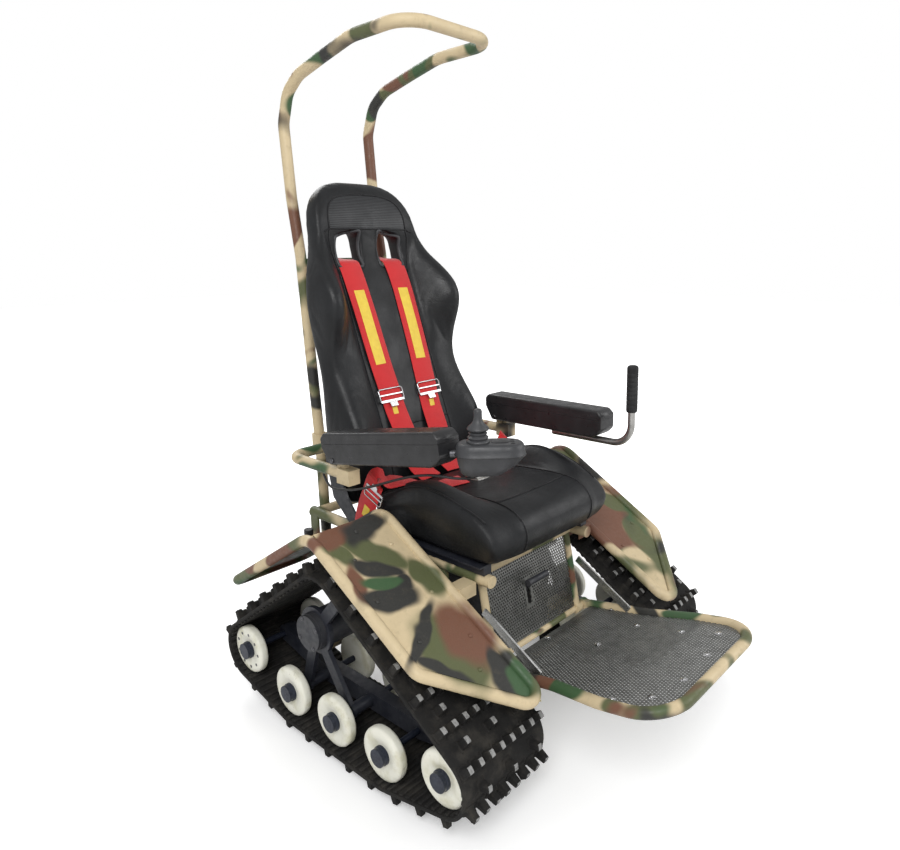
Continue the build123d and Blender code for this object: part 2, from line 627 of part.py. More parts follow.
for side, s in SIDES:
    upper = Vector(s * STAY_X, -135, 345.7)
    lower = Vector(s * STAY_X, -302, 250)
    direction = (lower - upper).normalized()
    across = Vector(0, -direction.Z, direction.Y) * (STAY_H / 2)
    pts = [upper + across, lower + across, lower - across, upper - across]
    stay = side_profile([(v.Y, v.Z) for v in pts], s * STAY_X - STAY_W / 2, s * STAY_X + STAY_W / 2)
    stays.append(stay)
add("footplate_frame", foot_frame)
add("footplate_stays", *[stay - foot_frame - nodes["footplate_mesh"][0] for stay in stays])

# Fenders: a closed tube loop over each track with a sheet inside it, and brackets to the seat rails
FRONT_SLOPE = 0.571
REAR_SLOPE = 0.636
FENDER_FRONT_Y = -215.0
FENDER_TIP_Y = -403.0
FENDER_REAR_Y = 477.0


def fender_z(y):
    if y < CREST_Y:
        return CREST_Z - (CREST_Y - y) * FRONT_SLOPE
    return CREST_Z - (y - CREST_Y) * REAR_SLOPE


for side, s in SIDES:
    rear_mid = ((FENDER_IN + FENDER_OUT) / 2, FENDER_REAR_Y)
    front_mid = ((FENDER_TIP_IN + FENDER_OUT) / 2, (FENDER_TIP_Y + FENDER_FRONT_Y) / 2)
    outside = [rear_mid, (FENDER_OUT, FENDER_REAR_Y), (FENDER_OUT, CREST_Y), (FENDER_OUT, FENDER_FRONT_Y), front_mid]
    inside = [rear_mid, (FENDER_IN, FENDER_REAR_Y), (FENDER_IN, CREST_Y), (FENDER_TIP_IN, FENDER_TIP_Y), front_mid]
    halves = [tube([(s * x, y, fender_z(y)) for x, y in line], bends, FENDER_R)
              for line, bends in ((outside, [30, 60, 40]), (inside, [30, 60, 30]))]
    loop_tube = fuse(*halves)
    brackets = []
    for y in (-108.0, 290.0):
        z = min(fender_z(y), RAIL_Z + 8)
        x0, x1 = s * (RAIL_SIDE + TUBE + GAP), s * (FENDER_IN - 4)
        outer_box = box(x0, x1, y - 20, y + 20, z - 24, z + 8)
        brackets.append(outer_box - box(x0 - s, x1 + s, y - 16, y + 16, z - 30, z + 4))
    rim = FENDER_R + GAP
    xi, xo = FENDER_IN + rim, FENDER_OUT - rim
    diag = (FENDER_FRONT_Y - FENDER_TIP_Y) / (FENDER_OUT - FENDER_TIP_IN)
    shift = rim * sqrt(1 + diag * diag) + 2
    plan = [(xi, FENDER_REAR_Y - rim), (xo, FENDER_REAR_Y - rim), (xo, FENDER_TIP_Y + shift + (xo - FENDER_TIP_IN) * diag), (xi, FENDER_TIP_Y + shift + (xi - FENDER_TIP_IN) * diag)]
    t = FENDER_SHEET / 2
    ys = [FENDER_REAR_Y, CREST_Y, FENDER_TIP_Y]
    band = side_profile([(y, fender_z(y) + t) for y in ys] + [(y, fender_z(y) - t) for y in reversed(ys)], s * xi, s * xo)
    cutter = extrude(make_face(Polyline(*[(s * x, y, 0) for x, y in plan], close=True)), 800, dir=(0, 0, 1))
    sheet = band & cutter
    frame = fuse(loop_tube, *brackets) - sheet
    add("fender_frame_" + side, frame)
    add("fender_panel_" + side, sheet)

# Seat: pan and rails, bellows below, cushion, back, side plates
rail_top = RAIL_Z + TUBE + GAP
PAN_T = 4.0
pan_low = SEAT_FLOOR - GAP - PAN_T
PAN_HALF = TRACK_X - BELT_W / 2 - 19.0
REAR_EDGE = SEAT_HALF + 6
base_parts = [
    box(-PAN_HALF, PAN_HALF, -150, 200, pan_low, SEAT_FLOOR - GAP),
    box(-REAR_EDGE, REAR_EDGE, 228, 278, pan_low, SEAT_FLOOR - GAP),
]
for side, s in SIDES:
    base_parts.append(box(s * (RAIL_SIDE - 13), s * (RAIL_SIDE + 13), -150, 300, rail_top, pan_low))
    plate = [(228, pan_low), (278, pan_low), (350, 530), (378, 640), (338, 640), (290, 540)]
    base_parts.append(side_profile(plate, s * (SEAT_HALF + GAP), s * REAR_EDGE))
add("seat_base", fuse(*base_parts))

bellows = []
steps = 5
bottom = floor + bz + GAP
pitch = (pan_low - GAP - bottom) / steps
fold = []
for k in range(steps):
    z = bottom + k * pitch
    fold += [(150, z), (162, z + pitch / 2)]
fold += [(150, pan_low - GAP)]
bellow = box(-150, 150, -78, 220, bottom, pan_low - GAP)
for k in range(steps):
    z = bottom + (k + 0.25) * pitch
    bellow = bellow + box(-160, 160, -88, 230, z, z + pitch / 2)
add("seat_bellows", bellow)


def mirrored_pair(points, x0, x1):
    return [side_profile(points, s * x0, s * x1) for side, s in SIDES]


def cushion_z(y):
    return 565 + (215 - y) * 38 / 335


# Cushion: outlines in the Y-Z plane, the middle's and the bolster's, blended across the width
MIDDLE = ((214, 470), (214, 560), (140, cushion_z(140)), (20, cushion_z(20)), (-100, 600), (-150, 600), (-188, 590), (-212, 568), (-222, 540), (-200, 484), (-180, 470))
BOLSTER = ((214, 470), (212, 556), (140, 602), (30, 643), (-70, 627), (-120, 609), (-168, 586), (-198, 560), (-212, 534), (-190, 483), (-168, 470))
# Columns: share of the half width, share of the bolster, how far the outline is pulled in
CUSHION_STATIONS = ((0.0, 0.0, 0.0), (0.54, 0.0, 0.0), (0.66, 0.5, 0.0), (0.80, 1.0, 0.0), (0.90, 1.0, 0.04), (0.97, 1.0, 0.35), (1.0, 1.0, 1.0))


def cushion_section(x, bolster, pull):
    points = []
    for (y0, z0), (y1, z1) in zip(MIDDLE, BOLSTER):
        y = y0 + (y1 - y0) * bolster
        z = z0 + (z1 - z0) * bolster
        if z > SEAT_FLOOR + 1:
            z += (535 - z) * 0.36 * pull
        points.append((x, y * (1 - 0.13 * pull), z))
    return make_face(Polyline(*points, close=True))


stations = [(-t, b, p) for t, b, p in reversed(CUSHION_STATIONS[1:])] + list(CUSHION_STATIONS)
cushion = loft([cushion_section(t * (SEAT_HALF - 2), b, p) for t, b, p in stations], ruled=True)
waist = [(PAN_HALF, SEAT_FLOOR), (SEAT_HALF, 525), (SEAT_HALF, 700)]
waist = waist + [(-x, z) for x, z in reversed(waist)]
sides_in = extrude(make_face(Polyline(*[(x, -400, z) for x, z in waist], close=True)), 800, dir=(0, 1, 0))
add("seat_cushion", cushion & sides_in)


def back_y(z):
    return 265 + (z - 650) * BACK_LEAN


# Seat back, from the foot to the top of the head
# Columns: height, half width, how far the middle stands behind the back plane, front of the side wing, rear at the middle, rear at the side
BACK_SECTIONS = (
    (500, 238, 31, 292, 380, 378),
    (575, 243, 10, 262, 388, 392),
    (625, 243, 3, 244, 392, 397),
    (669, 243, 0, 238, 396, 400),
    (770, 238, 0, 290, 408, 408),
    (885, 233, 0, 352, 432, 426),
    (985, 240, 0, 328, 462, 450),
    (1040, 242, 0, 319, 481, 457),
    (1100, 234, 0, 356, 502, 462),
    (1150, 210, 0, 410, 518, 480),
    (1199, 187, -11, 446, 531, 504),
    (1245, 178, -33, 460, 540, 520),
    (1310, 152, -38, 486, 544, 532),
    (1334, 126, -33, 500, 542, 535),
    (1355, 58, -18, 522, 533, 531),
)
FLAT_HALF = 122.0
HEAD_HALF = 182.0


def back_section(z, half, behind, wing, rear, rear_side):
    front = back_y(z) + behind
    inner = FLAT_HALF * min(1.0, half / HEAD_HALF)
    out = half - inner
    deep = rear_side - wing
    points = [(0, front), (inner, front), (inner + out * 0.42, front + (wing - front) * 0.62), (inner + out * 0.72, wing)]
    points += [(inner + out * 0.94, wing + deep * 0.08), (half, wing + deep * 0.32), (half, wing + deep * 0.70)]
    points += [(inner + out * 0.90, rear_side), (inner, rear), (0, rear)]
    ring = points + [(-x, y) for x, y in reversed(points[1:-1])]
    return make_face(Polyline(*[(x, y, z) for x, y in ring], close=True))


back = loft([back_section(*row) for row in BACK_SECTIONS], ruled=True)
slot_in, slot_out = SLOT_X - SLOT_W / 2, SLOT_X + SLOT_W / 2
for side, s in SIDES:
    window = [(s * slot_in, SLOT_LOW), (s * slot_out, SLOT_LOW), (s * slot_out, SLOT_TOP - SLOT_SLANT), (s * slot_in, SLOT_TOP)]
    back = back - extrude(make_face(Polyline(*[(x, 400, z) for x, z in window], close=True)), 300, dir=(0, 1, 0))
add("seat_back", back)


def ribbon(points, width, thick):
    # A flat strap through points, each (centre, direction across), as a closed skin of triangles.
    rings = []
    for i, (centre, across) in enumerate(points):
        before = Vector(*points[max(i - 1, 0)][0])
        after = Vector(*points[min(i + 1, len(points) - 1)][0])
        along = (after - before).normalized()
        w = Vector(*across)
        w = (w - along * w.dot(along)).normalized()
        n = along.cross(w).normalized()
        c = Vector(*centre)
        w = w * (width / 2)
        n = n * (thick / 2)
        rings.append([tuple(v) for v in (c + w + n, c - w + n, c - w - n, c + w - n)])
    corners = [(rings[0][0], rings[0][1], rings[0][2]), (rings[0][0], rings[0][2], rings[0][3])]
    corners += [(rings[-1][2], rings[-1][1], rings[-1][0]), (rings[-1][3], rings[-1][2], rings[-1][0])]
    for ring, after in zip(rings, rings[1:]):
        for k in range(4):
            m = (k + 1) % 4
            corners.append((ring[m], ring[k], after[k]))
            corners.append((ring[m], after[k], after[m]))
    faces = [make_face(Polyline(*triple, close=True)) for triple in corners]
    return Solid(Shell(faces))


straps = []
laps = []
adjusters = []
for side, s in SIDES:
    across = (1, 0, 0)
    lift = 4.5
    run = [(565, BAR_Z + 20), (486, 1164), (back_y(1140) - lift, 1142), (back_y(1000) - lift, 1002), (back_y(860) - lift, 862), (back_y(740) - lift - 3, 742), (250, 662), (190, cushion_z(190) + 10), (110, cushion_z(110) + 5)]
    xs = [78, 78, 80, 78, 75, 71, 62, 54, 46]
    straps.append(ribbon([((s * x, y, z), across) for x, (y, z) in zip(xs, run)], STRAP_W * 0.9, STRAP_T))
    zc = 800
    yc = back_y(zc) - lift - 6
    adjusters.append(Pos(s * 73, yc, zc) * Rot(-degrees(atan2(BACK_LEAN, 1)), 0, 0) * Box(80, 4, 34))
    lap = [((s * 250.9, 215, 500), (0, 1, 0.5)), ((s * 250.9, 165, 610), (0, 1, 0.25)), ((s * 240, 130, 652), (0, 1, 0.2)), ((s * 205, 118, 660), (0, 1, 0)), ((s * 150, 100, 622), (0, 1, 0)), ((s * 110, 88, 600), (0, 1, 0)), ((s * 62, 72, cushion_z(72) + 7), (0, 1, -0.1)), ((s * 25.4, 62, cushion_z(62) + 6.3), (0, 1, -0.1134))]
    laps.append(ribbon(lap, 60, STRAP_T))
add("shoulder_straps", *straps)
add("strap_adjusters", *[a - strap for a, strap in zip(adjusters, straps)])
buckle = Pos(0, 60, cushion_z(60) + 6.4) * Rot(-degrees(atan2(38, 335)), 0, 0) * Box(50, 60, 12)
add("lap_straps", *[lap - buckle for lap in laps])
add("harness_buckle", buckle)

total = Compound(children=[Compound(children=list(v)) for v in nodes.values()])
size = total.bounding_box()
print("bounds", size.min, size.max, "centre y", (size.min.Y + size.max.Y) / 2)
for name in nodes:
    export_step(Compound(children=list(nodes[name])), "parts/" + name + ".step")
print(len(nodes), "nodes")
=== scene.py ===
from math import atan2, ceil, cos, hypot, pi, radians, sin, sqrt, tanh

import bmesh
import bpy
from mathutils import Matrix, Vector


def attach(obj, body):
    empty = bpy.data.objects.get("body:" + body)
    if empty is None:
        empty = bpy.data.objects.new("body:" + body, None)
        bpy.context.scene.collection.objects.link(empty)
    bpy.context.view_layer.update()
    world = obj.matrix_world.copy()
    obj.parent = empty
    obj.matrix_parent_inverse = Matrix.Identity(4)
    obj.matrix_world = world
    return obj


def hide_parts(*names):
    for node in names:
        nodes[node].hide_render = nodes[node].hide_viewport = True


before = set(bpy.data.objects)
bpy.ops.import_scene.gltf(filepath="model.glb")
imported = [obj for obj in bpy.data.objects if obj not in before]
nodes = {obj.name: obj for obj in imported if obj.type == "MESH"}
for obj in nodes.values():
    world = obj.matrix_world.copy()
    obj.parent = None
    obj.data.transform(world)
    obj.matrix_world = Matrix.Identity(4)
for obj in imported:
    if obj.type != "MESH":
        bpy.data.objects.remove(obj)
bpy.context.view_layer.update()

scene = bpy.context.scene
MM = 0.001
CHASSIS = "chassis"
SIDES = (("right", -1), ("left", 1))
ACROSS = Vector((1, 0, 0))


def linked(name, data):
    # A new object in the scene.
    obj = bpy.data.objects.new(name, data)
    scene.collection.objects.link(obj)
    return obj


# Camera at the photograph's place and angle, in metres and degrees

CAMERA_AT = (-1.3296, -1.1589, 1.190)
CAMERA_TILT = 76.68
CAMERA_TURN = -49.11
SENSOR_WIDTH = 36.0
LENS = 28.67
LENS_SHIFT = (-0.0514, -0.0148)


def make_camera():
    data = bpy.data.cameras.new("camera")
    data.sensor_width = SENSOR_WIDTH
    data.lens = LENS
    data.shift_x, data.shift_y = LENS_SHIFT
    data.clip_end = 50.0
    scene.camera = linked("camera", data)
    scene.camera.location = CAMERA_AT
    scene.camera.rotation_euler = (radians(CAMERA_TILT), 0.0, radians(CAMERA_TURN))


# Materials

class Shader:
    # One material: a Principled shader, and short calls that add what feeds it.

    def __init__(self, name, rough=0.5, metal=0.0, specular=0.5):
        self.material = bpy.data.materials.new(name)
        self.material.use_nodes = True
        self.tree = self.material.node_tree
        self.bsdf = self.tree.nodes["Principled BSDF"]
        self.feed(self.bsdf, {"Roughness": rough, "Metallic": metal, "Specular IOR Level": specular})
        self.coords = self.node("TexCoord").outputs["Object"]

    def feed(self, node, inputs):
        # Each input takes another node's output or a plain value.
        for key, value in inputs.items():
            socket = node.inputs[key]
            if isinstance(value, bpy.types.NodeSocket):
                self.tree.links.new(value, socket)
            elif socket.type == "RGBA":
                socket.default_value = (*value, 1.0)
            else:
                socket.default_value = value

    def node(self, kind, inputs=None, **settings):
        node = self.tree.nodes.new("ShaderNode" + kind)
        for key, value in settings.items():
            setattr(node, key, value)
        self.feed(node, inputs or {})
        return node

    def mapped(self, turn=(0, 0, 0), shift=(0, 0, 0)):
        inputs = {"Rotation": turn, "Location": shift, "Vector": self.coords}
        return self.node("Mapping", inputs).outputs["Vector"]

    def noise(self, scale, detail=3.0, rough=0.5, warp=0.0, vector=None):
        inputs = {"Scale": scale, "Detail": detail, "Roughness": rough, "Distortion": warp}
        inputs["Vector"] = vector or self.coords
        return self.node("TexNoise", inputs).outputs["Fac"]

    def wave(self, scale, direction, warp=0.0, vector=None):
        inputs = {"Scale": scale, "Distortion": warp, "Vector": vector or self.coords}
        return self.node("TexWave", inputs, bands_direction=direction).outputs["Fac"]

    def cells(self, scale):
        return self.node("TexVoronoi", {"Scale": scale, "Vector": self.coords}).outputs["Distance"]

    def ramp(self, value, low, high, a=0.0, b=1.0):
        inputs = {"Value": value, "From Min": low, "From Max": high, "To Min": a, "To Max": b}
        return self.node("MapRange", inputs, interpolation_type="SMOOTHSTEP").outputs["Result"]

    def math(self, kind, a, b):
        return self.node("Math", {0: a, 1: b}, operation=kind).outputs["Value"]

    def mix(self, fac, a, b):
        return self.node("Mix", {"Factor": fac, 6: a, 7: b}, data_type="RGBA").outputs[2]

    def axis(self, letter):
        return self.node("SeparateXYZ", {0: self.coords}).outputs[letter]

    def length(self, vector):
        return self.node("VectorMath", {0: vector}, operation="LENGTH").outputs["Value"]

    def wavy(self, scale, reach):
        # The part's own coordinates, pushed about by noise.
        noise = self.node("TexNoise", {"Scale": scale, "Detail": 1.0, "Vector": self.coords})
        inputs = {0: noise.outputs["Color"], 1: (reach,) * 3, 2: (-reach / 2,) * 3}
        push = self.node("VectorMath", inputs, operation="MULTIPLY_ADD").outputs["Vector"]
        return self.node("VectorMath", {0: push, 1: self.coords}).outputs["Vector"]

    def patch(self, vector, x, y, length, width, turn):
        # A sprayed patch seen from above: an ellipse in millimetres with a soft edge.
        inputs = {"Location": (x * MM, y * MM, 0.5), "Rotation": (0.0, 0.0, radians(turn))}
        inputs |= {"Scale": (length * MM, width * MM, 9.0), "Vector": vector}
        node = self.node("Mapping", inputs, vector_type="TEXTURE")
        return self.ramp(self.length(node.outputs["Vector"]), 0.76, 1.28, 1.0, 0.0)

    def colour(self, value):
        self.feed(self.bsdf, {"Base Color": value})

    def roughness(self, value):
        self.feed(self.bsdf, {"Roughness": value})

    def bump(self, height, depth, strength):
        node = self.node("Bump", {"Strength": strength, "Distance": depth, "Height": height})
        normal = self.bsdf.inputs["Normal"]
        if normal.is_linked:
            self.feed(node, {"Normal": normal.links[0].from_socket})
        self.feed(self.bsdf, {"Normal": node.outputs["Normal"]})


CREAM = (0.66, 0.54, 0.34)
CREAM_SHADE = (0.55, 0.44, 0.27)
GRIME = (0.12, 0.10, 0.07)

# Sprayed colours: tone; scale, detail, roughness and warp of the noise; its place, and the axis it shifts on;
# where the soft edge starts and ends, and the share of bare that is added to both
SPRAY = {
    "olive": ((0.105, 0.118, 0.052), (3.4, 1.2, 0.45, 0.7), (0.2, 2.1, 0.9), 1, (0.485, 0.55), 1.0),
    "brown": ((0.17, 0.078, 0.048), (4.3, 1.0, 0.4, 0.6), (1.3, 0.0, 0.4), 0, (0.545, 0.605), 1.0),
    "dark": ((0.034, 0.034, 0.031), (4.0, 1.2, 0.45, 0.5), (3.3, 0.7, 1.7), 2, (0.56, 0.63), 0.5),
    "green": ((0.050, 0.105, 0.045), (5.4, 1.0, 0.4, 0.4), (5.3, 1.7, 2.2), 1, (0.59, 0.66), 0.0),
}

# Patches on the near fender's front: colour, x and y, half length, half width and turn
PATCHES = (
    ("dark", -350, 100, 65, 30, 15),
    ("dark", -395, 5, 60, 20, -35),
    ("dark", -415, -65, 65, 30, -15),
    ("dark", -365, -50, 30, 25, 60),
    ("dark", -410, -155, 90, 15, 30),
    ("dark", -425, -225, 55, 15, -55),
    ("dark", -310, -290, 55, 25, 70),
    ("green", -410, -25, 45, 15, -30),
    ("green", -290, -330, 30, 25, 75),
    ("brown", -435, 110, 85, 20, 5),
    ("brown", -460, -15, 50, 20, 80),
    ("brown", -315, -195, 75, 55, 80),
    ("olive", -375, 45, 90, 30, -45),
    ("olive", -305, -50, 50, 30, -85),
    ("olive", -375, -215, 85, 70, -75),
    ("olive", -285, -325, 50, 45, -85),
    ("olive", -450, 65, 35, 25, -75),
)


def camouflage(name, shift, dirt, size, bare, placed=()):
    # Sprayed colours with soft edges, each over the one before. Placed patches take the front's place.
    s = Shader(name, rough=0.5, specular=0.4)
    layers = {}
    for key, (_, (scale, *grain), place, axis, edge, share) in SPRAY.items():
        moved = [c + shift * (k == axis) for k, c in enumerate(place)]
        fac = s.noise(scale * size, *grain, s.mapped(shift=moved))
        layers[key] = s.ramp(fac, *(e + bare * share for e in edge))
    order = ("olive", "green", "brown", "dark")
    if placed:
        order = ("olive", "brown", "dark", "green")
        behind = s.ramp(s.axis("Y"), 0.12, 0.17)
        vector = s.wavy(13.0, 0.055)
        for key in layers:
            layers[key] = s.math("MULTIPLY", layers[key], behind)
        for key, *sizes in placed:
            layers[key] = s.math("MAXIMUM", layers[key], s.patch(vector, *sizes))
    paint = s.mix(s.noise(22.0), CREAM, CREAM_SHADE)
    for key in order:
        paint = s.mix(layers[key], paint, SPRAY[key][0])
    grime = s.ramp(s.noise(55.0, 5.0, 0.65), 0.5, 0.78, 0.0, dirt)
    s.colour(s.mix(grime, paint, GRIME))
    s.roughness(s.ramp(s.noise(90.0), 0.3, 0.7, 0.36, 0.6))
    s.bump(s.noise(420.0, 2.0), 0.0004, 0.5)
    return s.material


def speckled(name, base, other, rough, metal=0.0, grain=300.0, depth=0.0003, patch=20.0):
    # Two close colours in patches, a fine bump and an uneven gloss.
    s = Shader(name, rough, metal)
    s.colour(s.mix(s.ramp(s.noise(patch, 4.0, 0.6), 0.25, 0.75), base, other))
    s.roughness(s.ramp(s.noise(patch * 3), 0.25, 0.75, max(0.02, rough - 0.1), min(1.0, rough + 0.12)))
    s.bump(s.noise(grain), depth, 0.6)
    return s.material


def track_rubber():
    # Dusty rubber, scraped to grey where the wear attribute says so.
    s = Shader("track_rubber", 0.85, specular=0.25)
    dust = s.ramp(s.noise(24.0, 6.0, 0.65), 0.4, 0.8)
    base = s.mix(dust, (0.014, 0.0135, 0.013), (0.044, 0.040, 0.034))
    wear = s.node("Attribute", attribute_name="wear").outputs["Fac"]
    worn = s.math("MULTIPLY", wear, s.ramp(s.noise(140.0, 4.0, 0.6), 0.2, 0.62, 0.35, 1.0))
    s.colour(s.mix(worn, base, (0.30, 0.30, 0.295)))
    s.bump(s.noise(190.0, 4.0, 0.6), 0.0012, 0.7)
    return s.material


def nylon():
    # Off-white nylon, a little yellowed, with a few dark scuffs.
    s = Shader("wheel_nylon", 0.42, specular=0.45)
    stain = s.ramp(s.noise(17.0, 4.0, 0.6, 0.3), 0.46, 0.74)
    base = s.mix(stain, (0.80, 0.79, 0.69), (0.60, 0.58, 0.43))
    scuff = s.ramp(s.noise(64.0, 6.0, 0.7, 1.0), 0.63, 0.72, 0.0, 0.75)
    s.colour(s.mix(scuff, base, (0.20, 0.18, 0.13)))
    s.roughness(s.ramp(s.noise(60.0, 4.0), 0.3, 0.7, 0.30, 0.56))
    s.bump(s.noise(160.0, 4.0), 0.0006, 0.4)
    return s.material


# The printed panel on the head, in millimetres: half width, foot, height and the power of its rounding
HEAD_PANEL = (134, 1225, 93, 3.2)


def head_print(s, skin):
    # A printed twill on the front of the head, inside its piping.
    bars = s.wave(72.0, "Z", 0.3, s.mapped(turn=(radians(35), 0, 0)))
    twill = s.mix(s.ramp(bars, 0.3, 0.7), (0.010, 0.010, 0.011), (0.040, 0.042, 0.045))
    half, low, tall, power = HEAD_PANEL
    across = s.math("DIVIDE", s.axis("X"), half * MM)
    across = s.math("POWER", s.math("ABSOLUTE", across, 0.0), power)
    rise = s.math("DIVIDE", s.math("SUBTRACT", s.axis("Z"), low * MM), tall * MM)
    rise = s.math("POWER", s.math("MAXIMUM", rise, 0.0), power)
    panel = s.ramp(s.math("ADD", across, rise), 0.97, 1.03, 1.0, 0.0)
    panel = s.math("MULTIPLY", panel, s.ramp(s.axis("Z"), low * MM, (low + 1) * MM))
    panel = s.math("MULTIPLY", panel, s.ramp(s.axis("Y"), 0.505, 0.515, 1.0, 0.0))
    return s.mix(panel, skin, twill)


def leather(name, base=(0.008, 0.0085, 0.0095), gloss=0.38, grain=520.0, printed=False):
    s = Shader(name, gloss, specular=0.34)
    skin = s.mix(s.ramp(s.noise(9.0, 4.0, 0.6), 0.35, 0.7), base, tuple(c * 1.7 for c in base))
    s.colour(head_print(s, skin) if printed else skin)
    s.roughness(s.ramp(s.noise(14.0, 5.0, 0.6), 0.3, 0.7, gloss - 0.06, gloss + 0.14))
    s.bump(s.cells(grain), 0.0005, 0.35)
    s.bump(s.noise(19.0, 4.0, 0.6, 1.2), 0.004, 0.3)
    return s.material


def webbing():
    s = Shader("webbing", 0.62, specular=0.35)
    weave = s.math("MULTIPLY", s.wave(210.0, "Z"), s.wave(170.0, "X"))
    tone = s.mix(s.ramp(weave, 0.1, 0.9), (0.58, 0.012, 0.016), (0.80, 0.030, 0.030))
    s.colour(s.mix(s.ramp(s.noise(30.0), 0.4, 0.8, 0.0, 0.3), tone, (0.42, 0.01, 0.012)))
    s.bump(weave, 0.0006, 0.6)
    s.feed(s.bsdf, {"Sheen Weight": 0.25})
    return s.material


def plain_metal(name, tone, rough, grain=900.0):
    s = Shader(name, rough, 1.0)
    s.colour(s.mix(s.ramp(s.noise(40.0, 5.0, 0.6), 0.35, 0.75), tone, tuple(c * 0.72 for c in tone)))
    s.roughness(s.ramp(s.noise(grain, 2.0), 0.3, 0.7, max(0.03, rough - 0.08), rough + 0.1))
    s.bump(s.noise(grain, 2.0), 0.0001, 0.4)
    return s.material


CAMO = camouflage("camouflage", 0.0, 0.25, 1.25, 0.02)
CAMO_NEAR = camouflage("camouflage_near", 0.0, 0.2, 1.25, 0.02, PATCHES)
CAMO_TUBE = camouflage("camouflage_tube", 2.4, 0.2, 1.7, 0.03)
CAMO_ARM = camouflage("camouflage_arm", 6.1, 0.2, 1.7, 0.07)
RUBBER = track_rubber()
NYLON = nylon()
NAVY = speckled("frame_navy", (0.012, 0.014, 0.022), (0.030, 0.032, 0.040), 0.42, patch=30.0)
CASE = speckled("case_paint", (0.016, 0.018, 0.026), (0.045, 0.045, 0.048), 0.5, patch=26.0)
CAP = speckled("cap_steel", (0.012, 0.016, 0.030), (0.030, 0.036, 0.055), 0.36, 0.4, patch=60.0)
BLACK_PLASTIC = speckled("black_plastic", (0.013, 0.013, 0.014), (0.024, 0.024, 0.026), 0.42, grain=700.0)
GREY_PLASTIC = speckled("joystick_plastic", (0.030, 0.031, 0.034), (0.050, 0.051, 0.055), 0.45, grain=800.0)
PAD_SKIN = speckled("armrest_skin", (0.014, 0.014, 0.015), (0.026, 0.026, 0.028), 0.36, 0.0, 600.0, 0.0005)
FOAM = speckled("grip_foam", (0.010, 0.010, 0.011), (0.020, 0.020, 0.021), 0.75, 0.0, 500.0, 0.0008)
CABLE = speckled("cable_jacket", (0.008, 0.008, 0.009), (0.016, 0.016, 0.017), 0.4)
BELLOWS = speckled("bellows_rubber", (0.010, 0.010, 0.011), (0.026, 0.025, 0.024), 0.6)
SEAT = leather("seat_vinyl")
PIPING = leather("seat_piping", (0.008, 0.008, 0.009), 0.42, 900.0)
BACK_VINYL = leather("seat_back_vinyl", printed=True)
WEBBING = webbing()
LABEL = speckled("strap_label", (0.82, 0.60, 0.06), (0.74, 0.52, 0.05), 0.5, patch=60.0)
CHROME = plain_metal("adjuster_chrome", (0.62, 0.62, 0.63), 0.14)
STEEL = plain_metal("bare_steel", (0.52, 0.51, 0.49), 0.38)
SHEET_STEEL = plain_metal("sheet_steel", (0.27, 0.272, 0.262), 0.45)
DARK_STEEL = plain_metal("dark_steel", (0.14, 0.14, 0.15), 0.4)
BRIGHT_STEEL = plain_metal("bright_steel", (0.74, 0.74, 0.73), 0.3)

CARRIED = {
    CAMO: ("fender_frame_left", "fender_panel_left", "main_frame"),
    CAMO_NEAR: ("fender_frame_right", "fender_panel_right"),
    CAMO_TUBE: ("roll_bar", "footplate_frame", "front_struts"),
    CAMO_ARM: ("armrest_tube",),
    BRIGHT_STEEL: ("footplate_stays",),
    NYLON: ("road_wheels_right", "road_wheels_left"),
    CAP: ("wheel_axles_right", "wheel_axles_left"),
    NAVY: ("track_frame_right", "track_frame_left", "seat_base"),
    CASE: ("drive_case_right", "drive_case_left", "drive_motors", "panel_lever"),
    DARK_STEEL: ("drive_sprocket_right", "drive_sprocket_left"),
    BLACK_PLASTIC: ("battery_box",),
    STEEL: ("grip_bar",),
    BELLOWS: ("seat_bellows",),
    SHEET_STEEL: ("front_panel", "footplate_mesh"),
    PAD_SKIN: ("armrest_base_right", "armrest_base_left", "armrest_pad_right", "armrest_pad_left"),
    GREY_PLASTIC: ("joystick_module", "joystick_stick"),
    CABLE: ("joystick_cable",),
    FOAM: ("hand_grip",),
    SEAT: ("seat_cushion", "seat_back"),
    WEBBING: ("shoulder_straps", "lap_straps"),
    CHROME: ("strap_adjusters", "harness_buckle"),
    RUBBER: ("track_right", "track_left"),
}


def dress_carried_nodes():
    for material, names in CARRIED.items():
        for name in names:
            slots = nodes[name].material_slots
            if not slots:
                nodes[name].data.materials.append(material)
            for slot in slots:
                slot.material = material


# Floor, background and lamps, in metres and watts

FLOOR_HALF = 14.0
LAMP_AIM = Vector((0.0, 0.0, 0.7))
LAMPS = (
    ("key", (-2.6, -1.9, 3.2), 95.0, 1.8),
    ("fill", (2.4, -2.6, 2.2), 40.0, 2.2),
    ("back", (0.8, 3.0, 3.0), 45.0, 1.8),
)


